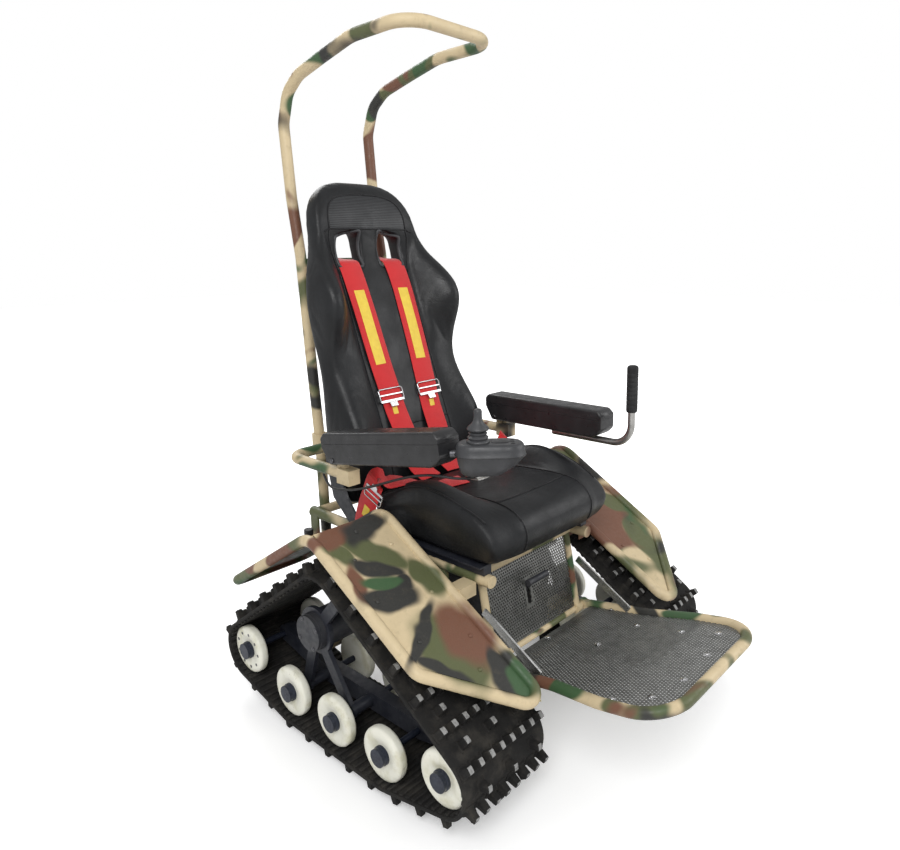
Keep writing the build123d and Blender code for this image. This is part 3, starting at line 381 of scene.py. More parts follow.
def stage():
    mesh = bpy.data.meshes.new("floor")
    r = FLOOR_HALF
    mesh.from_pydata([(-r, -r, 0), (r, -r, 0), (r, r, 0), (-r, r, 0)], [], [(0, 1, 2, 3)])
    floor = linked("floor", mesh)
    floor.location.z = -0.0005
    s = Shader("floor", 0.9, specular=0.1)
    s.colour(s.mix(s.noise(3.0, 2.0), (0.90, 0.90, 0.90), (0.91, 0.91, 0.91)))
    seen = s.node("LightPath").outputs["Is Camera Ray"]
    glow = s.math("MULTIPLY", s.ramp(s.length(s.coords), 0.5, 1.9, 0.28, 1.0), seen)
    s.feed(s.bsdf, {"Emission Color": (1.0, 1.0, 1.0), "Emission Strength": glow})
    mesh.materials.append(s.material)
    scene.world = bpy.data.worlds.new("world")
    scene.world.use_nodes = True
    tree = scene.world.node_tree
    back = tree.nodes["Background"]
    back.inputs["Color"].default_value = (1.0, 1.0, 1.0, 1.0)
    path = tree.nodes.new("ShaderNodeLightPath")
    level = tree.nodes.new("ShaderNodeMapRange")
    level.inputs["To Min"].default_value = 0.55
    level.inputs["To Max"].default_value = 1.0
    tree.links.new(path.outputs["Is Camera Ray"], level.inputs["Value"])
    tree.links.new(level.outputs["Result"], back.inputs["Strength"])
    for name, place, watts, size in LAMPS:
        lamp = bpy.data.lights.new(name, "AREA")
        lamp.energy = watts
        lamp.size = size
        obj = linked(name, lamp)
        obj.location = place
        obj.rotation_euler = (LAMP_AIM - Vector(place)).to_track_quat("-Z", "Y").to_euler()


# Shapes: each is a pair of verts in millimetres and faces

def add_piece(name, parts, material, body=CHASSIS, stands_for=(), crease=None, smooth=True):
    # One piece of several shapes. Edges bent by more than crease stay sharp.
    verts = []
    faces = []
    for part_verts, part_faces in parts:
        base = len(verts)
        verts += [tuple(Vector(v) * MM) for v in part_verts]
        faces += [tuple(i + base for i in face) for face in part_faces]
    mesh = bpy.data.meshes.new(name)
    mesh.from_pydata(verts, [], faces)
    bm = bmesh.new()
    bm.from_mesh(mesh)
    bmesh.ops.recalc_face_normals(bm, faces=bm.faces)
    bm.to_mesh(mesh)
    bm.free()
    mesh.materials.append(material)
    mesh.polygons.foreach_set("use_smooth", [smooth] * len(mesh.polygons))
    if crease is not None:
        mesh.set_sharp_from_angle(angle=crease)
    obj = linked(name, mesh)
    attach(obj, body)
    if stands_for:
        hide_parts(*stands_for)
    return obj


def bevel(obj, width, segments, angle=0.6, chosen=None):
    # Rounds the edges bent by more than angle, or those whose two ends are both chosen.
    mod = obj.modifiers.new("bevel", "BEVEL")
    mod.width = width * MM
    mod.segments = segments
    mod.limit_method = "WEIGHT" if chosen else "ANGLE"
    mod.angle_limit = angle
    if chosen:
        ends = [chosen(v.co / MM) for v in obj.data.vertices]
        values = [float(all(ends[i] for i in edge.vertices)) for edge in obj.data.edges]
        weight = obj.data.attributes.new("bevel_weight_edge", "FLOAT", "EDGE")
        weight.data.foreach_set("value", values)


def subdivide(obj, levels):
    mod = obj.modifiers.new("subdivision", "SUBSURF")
    mod.levels = levels
    mod.render_levels = levels


def tube_faces(rings, count, closed=False):
    # Faces between rings of points, with a cap on each end unless the last ring joins the first.
    faces = []
    for i in range(rings if closed else rings - 1):
        j = (i + 1) % rings
        for k in range(count):
            m = (k + 1) % count
            faces.append((i * count + k, i * count + m, j * count + m, j * count + k))
    if not closed:
        faces.append(tuple(reversed(range(count))))
        faces.append(tuple(range((rings - 1) * count, rings * count)))
    return faces


def prism(points, x0, x1):
    # A closed outline in the Y-Z plane, given thickness along X.
    return [(x, y, z) for x in (x0, x1) for y, z in points], tube_faces(2, len(points))


def turned(profile, start, axis, steps=32):
    # A profile of (distance along the axis, radius) turned about an axis from start.
    axis = Vector(axis).normalized()
    u = axis.orthogonal().normalized()
    v = axis.cross(u)
    verts = []
    for along, radius in profile:
        for k in range(steps):
            a = 2 * pi * k / steps
            verts.append(Vector(start) + axis * along + (u * cos(a) + v * sin(a)) * radius)
    return verts, tube_faces(len(profile), steps)


def curve_points(points, per_run=8):
    # A smooth line through the points (Catmull-Rom).
    pts = [Vector(p) for p in points]
    pts = [pts[0] * 2 - pts[1]] + pts + [pts[-1] * 2 - pts[-2]]
    out = []
    for i in range(1, len(pts) - 2):
        p0, p1, p2, p3 = pts[i - 1:i + 3]
        for k in range(per_run):
            t = k / per_run
            square = (2 * p0 - 5 * p1 + 4 * p2 - p3) * t * t
            cube = (3 * p1 - p0 - 3 * p2 + p3) * t * t * t
            out.append(0.5 * ((2 * p1) + (p2 - p0) * t + square + cube))
    out.append(pts[-2])
    return out


def swept(points, radius, closed=False, sides=8):
    # A round cord through the points, closed on itself or capped.
    n = len(points)
    verts = []
    side = None
    for i, p in enumerate(points):
        after = points[(i + 1) % n] if closed else points[min(i + 1, n - 1)]
        before = points[i - 1] if closed else points[max(i - 1, 0)]
        along = (after - before).normalized()
        side = along.orthogonal() if side is None else side - along * side.dot(along)
        side.normalize()
        up = along.cross(side)
        for k in range(sides):
            a = 2 * pi * k / sides
            verts.append(p + (side * cos(a) + up * sin(a)) * radius)
    return verts, tube_faces(n, sides, closed)


BOX_FACES = [(0, 3, 2, 1), (4, 5, 6, 7), (0, 1, 5, 4), (1, 2, 6, 5), (2, 3, 7, 6), (3, 0, 4, 7)]
CORNERS = ((-0.5, -0.5), (0.5, -0.5), (0.5, 0.5), (-0.5, 0.5))


def block(centre, u, v, size):
    # A box at a place, its sides along u, v and their normal.
    u = Vector(u).normalized()
    n = u.cross(Vector(v)).normalized()
    v = n.cross(u)
    verts = []
    for c in (-0.5, 0.5):
        for a, b in CORNERS:
            verts.append(Vector(centre) + u * a * size[0] + v * b * size[1] + n * c * size[2])
    return verts, BOX_FACES


def strap(points, ways, width, thick):
    # A flat strap along a smooth line, thin at its edges. ways holds a sideways direction for each point.
    line = curve_points(points)
    ways = curve_points(ways)
    columns = ((-0.5, 0.35), (-0.46, 1.0), (0.0, 1.0), (0.46, 1.0), (0.5, 0.35))
    ring = [(c, 0.5 * edge) for c, edge in columns] + [(c, -0.5 * edge) for c, edge in reversed(columns)]
    verts = []
    for i, p in enumerate(line):
        along = (line[min(i + 1, len(line) - 1)] - line[max(i - 1, 0)]).normalized()
        w = (ways[i] - along * ways[i].dot(along)).normalized()
        n = w.cross(along).normalized()
        verts += [p + w * (c * width) + n * (lift * thick) for c, lift in ring]
    return verts, tube_faces(len(line), len(ring))


RAY_START = 400


def laid_on(obj, points, way, lift):
    # Each point carried along way until it meets the piece, then lifted back a little.
    bpy.context.view_layer.update()
    solid = obj.evaluated_get(bpy.context.evaluated_depsgraph_get())
    way = Vector(way)
    out = []
    for p in points:
        hit, place, _, _ = solid.ray_cast((Vector(p) - way * RAY_START) * MM, way)
        if hit:
            out.append(place / MM - way * lift)
    return out


def between(points, step=12):
    # Close places along straight runs.
    out = []
    for p, q in zip(points, points[1:]):
        p, q = Vector(p), Vector(q)
        count = max(1, ceil((q - p).length / step))
        out += [p.lerp(q, k / count) for k in range(count)]
    return out + [Vector(points[-1])]


# Tracks: a belt with guide ribs inside and moulded lugs outside

BELT_IN = 241
BELT_OUT = 493
BELT_T = 9
BELT_STEP = 9
BELT_EDGE = 2.5
RIB_H = 5.6
RIB_PITCH = 20
OUTSIDE = RIB_H + BELT_T
LUG_PITCH = 80
LUG_COLUMNS = 8
LUG_SIDE_PITCH = 31.4
LUG_OUTER = 477
SPARSE_COLUMNS = (1, 3.5, 6)
WHEELS = ((441, 146), (255, 104), (82, 104), (-91, 104), (-277, 146))
BELT_CIRCLES = [(y, z, 63) for y, z in WHEELS] + [(106, 382, 70)]
BELT_SECTION = (
    (BELT_IN, RIB_H + BELT_EDGE), (BELT_IN + BELT_EDGE, RIB_H), (BELT_OUT - BELT_EDGE, RIB_H),
    (BELT_OUT, RIB_H + BELT_EDGE), (BELT_OUT, OUTSIDE - BELT_EDGE), (BELT_OUT - BELT_EDGE, OUTSIDE),
    (BELT_IN + BELT_EDGE, OUTSIDE), (BELT_IN, OUTSIDE - BELT_EDGE),
)

# Blocks on the belt: width and length at the base, the same at the end, and the heights of the two
RIB = ((244, 12), (244, 9), RIB_H + 1, 0.6)
LUG = ((17, 20), (13.5, 14.5), OUTSIDE - 1, OUTSIDE + 26)
LUG_FOOT = ((25, 29), (18, 20), OUTSIDE - 1, OUTSIDE + 3.5)


def belt_pieces():
    # The belt line, as straight runs and arcs, with their lengths at the belt's middle.
    runs = []
    for c0, c1 in zip(BELT_CIRCLES, BELT_CIRCLES[1:] + BELT_CIRCLES[:1]):
        y, z = c1[0] - c0[0], c1[1] - c0[1]
        lean = (c0[2] - c1[2]) / hypot(y, z)
        runs.append((atan2(z, y) + pi / 2 - atan2(lean, sqrt(1 - lean * lean)), c0, c1))
    pieces = []
    for (normal, c0, c1), after in zip(runs, runs[1:] + runs[:1]):
        a, b = ((c[0] + c[2] * cos(normal), c[1] + c[2] * sin(normal)) for c in (c0, c1))
        pieces.append(("run", hypot(b[0] - a[0], b[1] - a[1]), a, b, normal))
        turn = (normal - after[0]) % (2 * pi)
        pieces.append(("arc", turn * (c1[2] + RIB_H + BELT_T / 2), c1, turn, normal))
    return pieces


BELT = belt_pieces()
BELT_LENGTH = sum(piece[1] for piece in BELT)
ROWS = round(BELT_LENGTH / LUG_PITCH)
ROW_STEP = BELT_LENGTH / ROWS


def belt_at(s, lift):
    # Place and outward angle at distance s along the belt, lift outside the wheels' rims.
    s = s % BELT_LENGTH
    for kind, length, *rest in BELT:
        if s > length:
            s -= length
            continue
        if kind == "run":
            a, b, normal = rest
            t = s / length
            y, z = a[0] + (b[0] - a[0]) * t, a[1] + (b[1] - a[1]) * t
        else:
            centre, turn, start = rest
            normal = start - turn * s / length
            y, z = centre[0] + centre[2] * cos(normal), centre[1] + centre[2] * sin(normal)
        return y + lift * cos(normal), z + lift * sin(normal), normal
    return belt_at(0.0, lift)


def belt_block(s, x, form):
    # One tapered block on the belt. Its last face but four is the end's.
    base, end, low, high = form
    y, z, normal = belt_at(s, 0.0)
    out = Vector((0, cos(normal), sin(normal)))
    along = Vector((0, -sin(normal), cos(normal)))
    verts = []
    for (wide, long), lift in ((base, low), (end, high)):
        for a, b in CORNERS:
            verts.append(Vector((x, y, z)) + out * lift + ACROSS * (a * wide) + along * (b * long))
    return verts, BOX_FACES


def make_track(side, s):
    steps = round(BELT_LENGTH / BELT_STEP)
    verts = []
    for i in range(steps):
        for x, lift in BELT_SECTION:
            y, z, _ = belt_at(i * BELT_LENGTH / steps, lift)
            verts.append((s * x, y, z))
    parts = [(verts, tube_faces(steps, len(BELT_SECTION), closed=True))]
    ribs = round(BELT_LENGTH / RIB_PITCH)
    for i in range(ribs):
        parts.append(belt_block((i + 0.5) * BELT_LENGTH / ribs, s * (BELT_IN + BELT_OUT) / 2, RIB))
    first_lug = sum(len(faces) for _, faces in parts)
    for row in range(2 * ROWS):
        for column in SPARSE_COLUMNS if row % 2 else range(LUG_COLUMNS):
            x = s * (LUG_OUTER - column * LUG_SIDE_PITCH)
            parts += [belt_block((row + 1) * ROW_STEP / 2, x, form) for form in (LUG, LUG_FOOT)]
    obj = add_piece("track_shoes_" + side, parts, RUBBER, stands_for=("track_" + side,),
                    crease=0.5)
    # A lug and its foot have twelve faces, and the second is the lug's end.
    worn = [float(i >= first_lug and (i - first_lug) % 12 == 1) for i in range(len(obj.data.polygons))]
    obj.data.attributes.new("wear", "FLOAT", "FACE").data.foreach_set("value", worn)
    bevel(obj, 1.6, 1, 0.9)


# Road wheels: domed nylon discs, hub caps with their bolts

WHEEL_INSET = 14
WHEEL_W = 26
WHEEL_PROFILE = (
    (0.0, 9.0), (0.0, 50.0), (2.0, 58.0), (5.5, 62.0), (9.0, 63.0), (19.0, 63.0), (22.5, 61.5), (25.0, 57.0),
    (26.0, 50.0), (25.6, 42.0), (24.0, 34.0), (21.5, 28.0), (21.0, 25.0), (21.0, 9.0),
)
HUB_CAP = ((-1, 22.5), (6.5, 22.5), (8.5, 20.0), (8.5, 6.0))
HUB_BOLT = ((8.0, 7.5), (12.0, 7.5), (13.0, 6.5))
PLUG = ((0.0, 4.2), (0.9, 4.2), (1.2, 3.6))
PLUGS = 9
PLUG_RING = 46


def around(centre, radius, angle):
    return centre[0] + radius * cos(angle), centre[1] + radius * sin(angle)


def make_wheels(side, s):
    face = BELT_OUT - WHEEL_INSET
    inner_face = BELT_IN + WHEEL_INSET
    discs = []
    caps = []
    for y, z in WHEELS:
        discs.append(turned(WHEEL_PROFILE, (s * (face - WHEEL_W), y, z), (s, 0, 0), 56))
        discs.append(turned(WHEEL_PROFILE, (s * (inner_face + WHEEL_W), y, z), (-s, 0, 0), 56))
        caps.append(turned(HUB_CAP, (s * (face - 5), y, z), (s, 0, 0), 40))
        caps.append(turned(HUB_BOLT, (s * (face - 5), y, z), (s, 0, 0), 6))
    stands_for = ("road_wheels_" + side,)
    add_piece("wheel_faces_" + side, discs, NYLON, stands_for=stands_for, crease=0.8)
    add_piece("wheel_caps_" + side, caps, CAP, crease=0.5)
    spots = [around(WHEELS[0], PLUG_RING, 2 * pi * (k + 0.5) / PLUGS) for k in range(PLUGS)]
    plugs = [turned(PLUG, (s * (face - 0.9), *spot), (s, 0, 0), 16) for spot in spots]
    add_piece("wheel_plugs_" + side, plugs, DARK_STEEL)


# Bolt heads, rivets and the rear posts' caps

FENDER_CREST = (128, 552)
SHEET_T = 2.0
# Rivets of a fender's front and rear: places in x and y, and the sheet's rise along y
RIVETS = (
    ("front_rivets_", ((313, -205), (352, -268), (424, 40), (315, 43), (371, 100), (426, -167), (445, -60),
                       (315, -90)), 0.571),
    ("rear_rivets_", ((315, 200), (430, 200), (315, 400), (430, 400)), -0.636),
)
HUB = (201, 273)
HUB_FACE = 452
COVER_BOLT_R = 39
POST_AT = (231, 503, 390)
POST_CAP = ((-14, 12.6), (-13.5, 13.2), (-0.5, 13.2), (0.6, 12.2))


def dome_heads(name, spots, normal, radius, material, body=CHASSIS, washer=0.0):
    # Round heads at places on a surface, all facing one way.
    normal = Vector(normal).normalized()
    head = [(0.0, radius)]
    head += [(radius * 0.62 * sin(a), radius * cos(a)) for a in (0.3, 0.6, 0.9, 1.2, 1.45)]
    rim = ((-0.5, washer), (1.0, washer), (1.3, washer * 0.93))
    parts = []
    for spot in spots:
        if washer:
            parts.append(turned(rim, spot, normal, 20))
        parts.append(turned(head, Vector(spot) + normal * (1.0 if washer else -0.2), normal, 16))
    add_piece(name, parts, material, body, crease=0.7)


def make_fasteners():
    caps = [turned(POST_CAP, (s * POST_AT[0], *POST_AT[1:]), (0, 0, 1), 32) for _, s in SIDES]
    add_piece("post_caps", caps, BLACK_PLASTIC, crease=0.6)
    for side, s in SIDES:
        for name, places, rise in RIVETS:
            spots = [(s * x, y, FENDER_CREST[1] + (y - FENDER_CREST[0]) * rise + SHEET_T) for x, y in places]
            paint = CAMO_NEAR if s < 0 else CAMO
            dome_heads(name + side, spots, (0, -rise, 1), 5.0, paint)
        turns = [pi / 4 + k * pi / 2 + 0.25 for k in range(4)]
        spots = [(s * HUB_FACE, *around(HUB, COVER_BOLT_R, a)) for a in turns]
        dome_heads("cover_bolts_" + side, spots, (s, 0, 0), 4.0, DARK_STEEL, washer=6)


# Perforated sheets: hexagonal cells with a round hole each

HOLE_PITCH = 8.2
HOLE_R = 2.9


def inside(x, y, outline):
    hit = False
    for (x0, y0), (x1, y1) in zip(outline, outline[1:] + outline[:1]):
        if (y0 > y) != (y1 > y) and x < x0 + (y - y0) * (x1 - x0) / (y1 - y0):
            hit = not hit
    return hit


def on_sheet(foot, along):
    # Turns (u, v, w) into the frame: u across, v along the sheet from its foot, w out of it.
    along = Vector(along).normalized()
    out = Vector((0, along.z, -along.y))
    return lambda u, v, w: foot + ACROSS * u + along * v + out * w


def perforated(outline, place, solid, gone):
    # outline is in the sheet's own plane. solid says where a cell has no hole, gone where there is none.
    row = HOLE_PITCH * sqrt(3) / 2
    us, vs = zip(*outline)
    index = {}
    verts = []
    faces = []

    def ring(u, v, radius, w):
        # The six corners of a cell or a hole, shared with what was made before.
        out = []
        for k in range(6):
            p = (u + radius * sin(k * pi / 3), v + radius * cos(k * pi / 3), w)
            key = tuple(round(c, 3) for c in p)
            if key not in index:
                index[key] = len(verts)
                verts.append(place(*p))
            out.append(index[key])
        return out

    for j in range(ceil((max(vs) - min(vs)) / row) + 1):
        for i in range(ceil((max(us) - min(us)) / HOLE_PITCH) + 2):
            u = min(us) + (i + (j % 2) / 2) * HOLE_PITCH
            v = min(vs) + j * row
            if gone(u, v) or not inside(u, v, outline):
                continue
            rims = [ring(u, v, HOLE_PITCH / sqrt(3), w) for w in (SHEET_T / 2, -SHEET_T / 2)]
            if solid(u, v):
                faces += [tuple(rim) for rim in rims]
                continue
            holes = [ring(u, v, HOLE_R, w) for w in (SHEET_T / 2, -SHEET_T / 2)]
            for k in range(6):
                m = (k + 1) % 6
                for a, b in ((rims[0], holes[0]), (rims[1], holes[1]), (holes[0], holes[1])):
                    faces.append((a[k], a[m], b[m], b[k]))
    return verts, faces


PLATE_FOOT = Vector((0, -151, 212))
PLATE_RISE = 0.2
PLATE_STRETCH = sqrt(1 + PLATE_RISE ** 2)
PLATE_LEN = 478 * PLATE_STRETCH
PLATE_HALF = 204
PLATE_BULGE = 224
PLATE_CORNER = 80
MESH_REAR = 36
TRIMMED_TO = 370
PANEL_TOP = Vector((0, -105, 430))
PANEL_HALF = 172
# The lever's slot in the front panel: middle, and half its size
SLOT_AT = (-14, 113)
SLOT_HALF = (8, 28)
SLOT_RIM = 8
MESH_BOLTS = ((129, -362), (137, -478), (160, -560), (52, -581), (-69, -586), (-159, -561), (-201, -494),
              (-203, -376), (-190, -250), (190, -250), (-19, -196), (0, -330))


def rounded_front():
    # The sheet's outline along the middle of the footplate's tube.
    points = [(PLATE_HALF, MESH_REAR), (PLATE_HALF, 200), (PLATE_BULGE, 330)]
    centre = (PLATE_BULGE - PLATE_CORNER, PLATE_LEN - PLATE_CORNER)
    points += [around(centre, PLATE_CORNER, k * pi / 12) for k in range(7)]
    return points + [(-u, v) for u, v in reversed(points)]


def near_slot(u, v, margin):
    away = (abs(u - SLOT_AT[0]) - SLOT_HALF[0], abs(v - SLOT_AT[1]) - SLOT_HALF[1])
    return max(away) < margin


def past_rim(u, v):
    # The rearmost cells of the sheet's right edge, which lie under the tube.
    return u < 1 - PLATE_BULGE and v < TRIMMED_TO


def make_sheets():
    plate = on_sheet(PLATE_FOOT, (0, -1, PLATE_RISE))
    shape = perforated(rounded_front(), plate, lambda u, v: v < MESH_REAR + HOLE_PITCH, past_rim)
    add_piece("footplate_sheet", [shape], SHEET_STEEL, "footplate", ("footplate_mesh",),
              smooth=False)
    rise = PANEL_TOP - PLATE_FOOT
    panel = on_sheet(PLATE_FOOT, rise)
    outline = [(-PANEL_HALF, 0.0), (PANEL_HALF, 0.0), (PANEL_HALF, rise.length), (-PANEL_HALF, rise.length)]
    shape = perforated(outline, panel, lambda u, v: near_slot(u, v, 9), lambda u, v: near_slot(u, v, 2))
    add_piece("front_sheet", [shape], SHEET_STEEL, stands_for=("front_panel",), smooth=False)
    (u, v), (wide, tall) = SLOT_AT, SLOT_HALF
    rim = []
    for end in (-1, 1):
        centre = panel(u, v + end * (tall + SLOT_RIM / 2), 0)
        rim.append(block(centre, ACROSS, rise, (2 * wide, SLOT_RIM, 3.2)))
        centre = panel(u + end * (wide + SLOT_RIM / 2), v, 0)
        rim.append(block(centre, ACROSS, rise, (SLOT_RIM, 2 * (tall + SLOT_RIM), 3.2)))
    add_piece("slot_rim", rim, SHEET_STEEL, smooth=False)
    spots = [plate(x, (PLATE_FOOT.y - y) * PLATE_STRETCH, SHEET_T / 2) for x, y in MESH_BOLTS]
    dome_heads("footplate_bolts", spots, (0, PLATE_RISE, 1), 4.0, CHROME, "footplate", 8.5)


# Armrests

ARM_X = 300
ARM_PIN = (232, 673)
PAD_HALF = 32
TILTS = {"right": 10.4, "left": 1.0}
BASE_PROFILE = ((12, -10), (34, 27), (34, 40.7), (-380, 40.7), (-380, 12), (-366, -2), (-346, -10))
PAD_PROFILE = ((34, 41.3), (34, 60), (24, 68), (-368, 68), (-380, 57), (-380, 41.3))
PIN_HEAD = ((0, 7), (3, 7), (4, 6))
SHELL_SEAM = 38
PAD_SEAM = 50


def tilted(y, z, side):
    a = radians(-TILTS[side])
    return ARM_PIN[0] + y * cos(a) - z * sin(a), ARM_PIN[1] + y * sin(a) + z * cos(a)


def level(p, side):
    # Height of a point above the armrest's pin, measured square to the tilted pad.
    a = radians(TILTS[side])
    return (p[1] - ARM_PIN[0]) * sin(a) + (p[2] - ARM_PIN[1]) * cos(a)


def make_armrests():
    for side, s in SIDES:
        body = "armrest_" + side
        middle = s * ARM_X

        def moulding(name, profile, node, crease):
            outline = [tilted(y, z, side) for y, z in profile]
            shape = prism(outline, middle - PAD_HALF, middle + PAD_HALF)
            return add_piece(name + side, [shape], PAD_SKIN, body, (node + side,), crease)

        shell = moulding("armrest_shell_", BASE_PROFILE, "armrest_base_", 0.5)
        bevel(shell, 5, 4, chosen=lambda p: level(p, side) < SHELL_SEAM)
        top = moulding("armrest_top_", PAD_PROFILE, "armrest_pad_", 0.9)
        bevel(top, 8, 5, chosen=lambda p: level(p, side) > PAD_SEAM)
        starts = [(end, (middle + end * (PAD_HALF - 1), *ARM_PIN)) for end in (-1, 1)]
        pins = [turned(PIN_HEAD, start, (end, 0, 0), 6) for end, start in starts]
        add_piece("armrest_bolts_" + side, pins, DARK_STEEL, body)


# Joystick: its box, seam, arm, boot with knob, and keys

MODULE_AT = Vector((-250, -208, 759))
MODULE_TURN = radians(45)
CAPSULE_STEPS = 14
# Outlines of the box from below: height, inset, length, width and slide along it
BOX_RINGS = (
    (-44, 10, 84, 50, -18), (-43, 3, 88, 50, -18), (-38, 0, 96, 56, -15), (-22, 0, 124, 68, -6),
    (-4, 1, 146, 74, 0), (-1, 0, 150, 76, 0), (1, 0, 150, 76, 0), (3, 1.5, 150, 76, 0), (14, 2.5, 150, 76, 0),
    (22, 5, 150, 76, 0), (25.5, 9, 150, 76, 0), (26, 14, 150, 76, 0),
)
SEAM_RINGS = ((-1.2, 0.8), (-0.7, 0), (0.7, 0), (1.2, 0.8))
KEY_RINGS = ((24, 0), (26.6, 0), (27.3, 1.2))
KEYS = ((20, 0, 26, 40), (46, 14, 13, 10), (46, -14, 13, 10), (46, 0, 13, 10))
ARM_FROM = Vector((6 - ARM_X, -135, 755))
ARM_ROD = ((0, 9), (70, 9))
STICK_AT = (-26, 0, 25.5)
BOOT_PROFILE = ((0, 24), (2, 25), (5, 24), (7, 19.5), (9, 20.5), (11.5, 22.5), (14, 20), (16, 17), (18, 18.5),
                (20, 20), (22.5, 17.5), (24.5, 14.5), (27, 16), (29, 17.5), (32, 14))
KNOB_PROFILE = ((27, 22), (30, 23.5), (34, 21), (40, 14), (46, 10.5), (52, 9), (60, 8.6), (66, 8.8),
                (70, 7.5), (72, 4.5))


def capsule(length, width, lift, inset=0.0, u=0.0, v=0.0):
    # An outline with round ends at one height, drawn in by inset.
    r = width / 2 - inset
    half = length / 2 - width / 2
    turns = [-pi / 2 + pi * k / (CAPSULE_STEPS - 1) for k in range(CAPSULE_STEPS)]
    return [(end * (half + r * cos(a)) + u, end * r * sin(a) + v, lift) for end in (1, -1) for a in turns]


def on_module(u, v, w):
    c, t = cos(MODULE_TURN), sin(MODULE_TURN)
    return MODULE_AT + Vector((u * c + v * t, v * c - u * t, w))


def stacked(rings):
    return [on_module(*p) for ring in rings for p in ring], tube_faces(len(rings), len(rings[0]))


def make_joystick():
    def piece(name, parts, material, stands_for=(), crease=None):
        add_piece(name, parts, material, "armrest_right", stands_for, crease)

    rings = [capsule(length, width, lift, inset, slide) for lift, inset, length, width, slide in BOX_RINGS]
    piece("joystick_box", [stacked(rings)], GREY_PLASTIC, ("joystick_module",), 0.9)
    rings = [capsule(151.4, 77.4, lift, inset) for lift, inset in SEAM_RINGS]
    piece("joystick_seam", [stacked(rings)], BLACK_PLASTIC)
    way = MODULE_AT - ARM_FROM - Vector((0, 0, 4))
    piece("joystick_arm", [turned(ARM_ROD, ARM_FROM, way, 24)], DARK_STEEL, crease=0.6)
    base = on_module(*STICK_AT)
    stick = [turned(profile, base, (0, 0, 1), 40) for profile in (BOOT_PROFILE, KNOB_PROFILE)]
    piece("joystick_boot", stick, GREY_PLASTIC, ("joystick_stick",), 0.9)
    keys = []
    for u, v, w, h in KEYS:
        keys.append(stacked([capsule(h, min(w, h) * 0.99, lift, inset, u, v) for lift, inset in KEY_RINGS]))
    piece("joystick_keys", keys, BLACK_PLASTIC, crease=0.6)


# Hand grip: a foam sleeve with shallow grooves

GRIP_AT = (-455, 196)
GRIP_L = 125
GRIP_R = 15
GROOVES = 8


def make_grip():
    y, z = tilted(*GRIP_AT, "left")
    a = radians(-TILTS["left"])
    profile = [(0.0, 0.55), (1.5, 0.8), (4, 0.95), (8, 1)]
    for k in range(GROOVES):
        at = 8 + (k + 1) * (GRIP_L - 16) / (GROOVES + 1)
        profile += [(at - 1.4, 1), (at, 0.95), (at + 1.4, 1)]
    profile += [(GRIP_L - 8, 1), (GRIP_L - 3, 0.97), (GRIP_L, 0.86)]
    sleeve = turned([(at, r * GRIP_R) for at, r in profile], (ARM_X, y, z), (0, sin(a), -cos(a)), 36)
    add_piece("grip_sleeve", [sleeve], FOAM, "armrest_left", ("hand_grip",), 0.9)


# Joystick cable, by the same points as the solid

CABLE_POINTS = (
    (-262, -192, 714.4), (-268, -170, 701), (-284, -138, 697), (-304, -98, 702), (-320, -50, 694),
    (-327, 0, 676), (-329, 48, 656), (-328, 100, 635), (-327, 152, 616), (-327, 204, 604),
    (-330, 256, 599), (-313.2, 296, 620.6),
)
CABLE_R = 3


def make_cable():
    data = bpy.data.curves.new("control_cable", "CURVE")
    data.dimensions = "3D"
    data.bevel_depth = CABLE_R * MM
    data.bevel_resolution = 4
    data.resolution_u = 12
    spline = data.splines.new("NURBS")
    spline.points.add(len(CABLE_POINTS) - 1)
    for point, place in zip(spline.points, CABLE_POINTS):
        point.co = (*[c * MM for c in place], 1.0)
    spline.order_u = 3
    spline.use_endpoint_u = True
    data.materials.append(CABLE)
    obj = linked("control_cable", data)
    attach(obj, "armrest_right")
    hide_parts("joystick_cable")


# Padding: the seat's covers are blown up as cloth between their seams, then piped along them

SUNK = 3.5
CAP_TRAVEL = 9 * MM
PRESSURE = 4.0
FRAMES = 20
SEAM_HOLD = 6.0


def wing(t):
    # Smooth step from 0 to 1.
    t = min(1.0, max(0.0, t))
    return t * t * (3 - 2 * t)


def from_lines(x, z, lines):
    # Distance from a place to the nearest of several broken lines, either side of the middle.
    spot = Vector((abs(x), z))
    best = 1e9
    for line in lines:
        for p, q in zip(line, line[1:]):
            p, q = Vector(p), Vector(q)
            along = q - p
            share = 0.0
            if along.length:
                share = min(1.0, max(0.0, (spot - p).dot(along) / along.length_squared))
            best = min(best, (spot - p - along * share).length)
    return best


def baked(obj):
    # A copy of the piece's mesh with its modifiers applied.
    bpy.context.view_layer.update()
    return bpy.data.meshes.new_from_object(obj.evaluated_get(bpy.context.evaluated_depsgraph_get()))


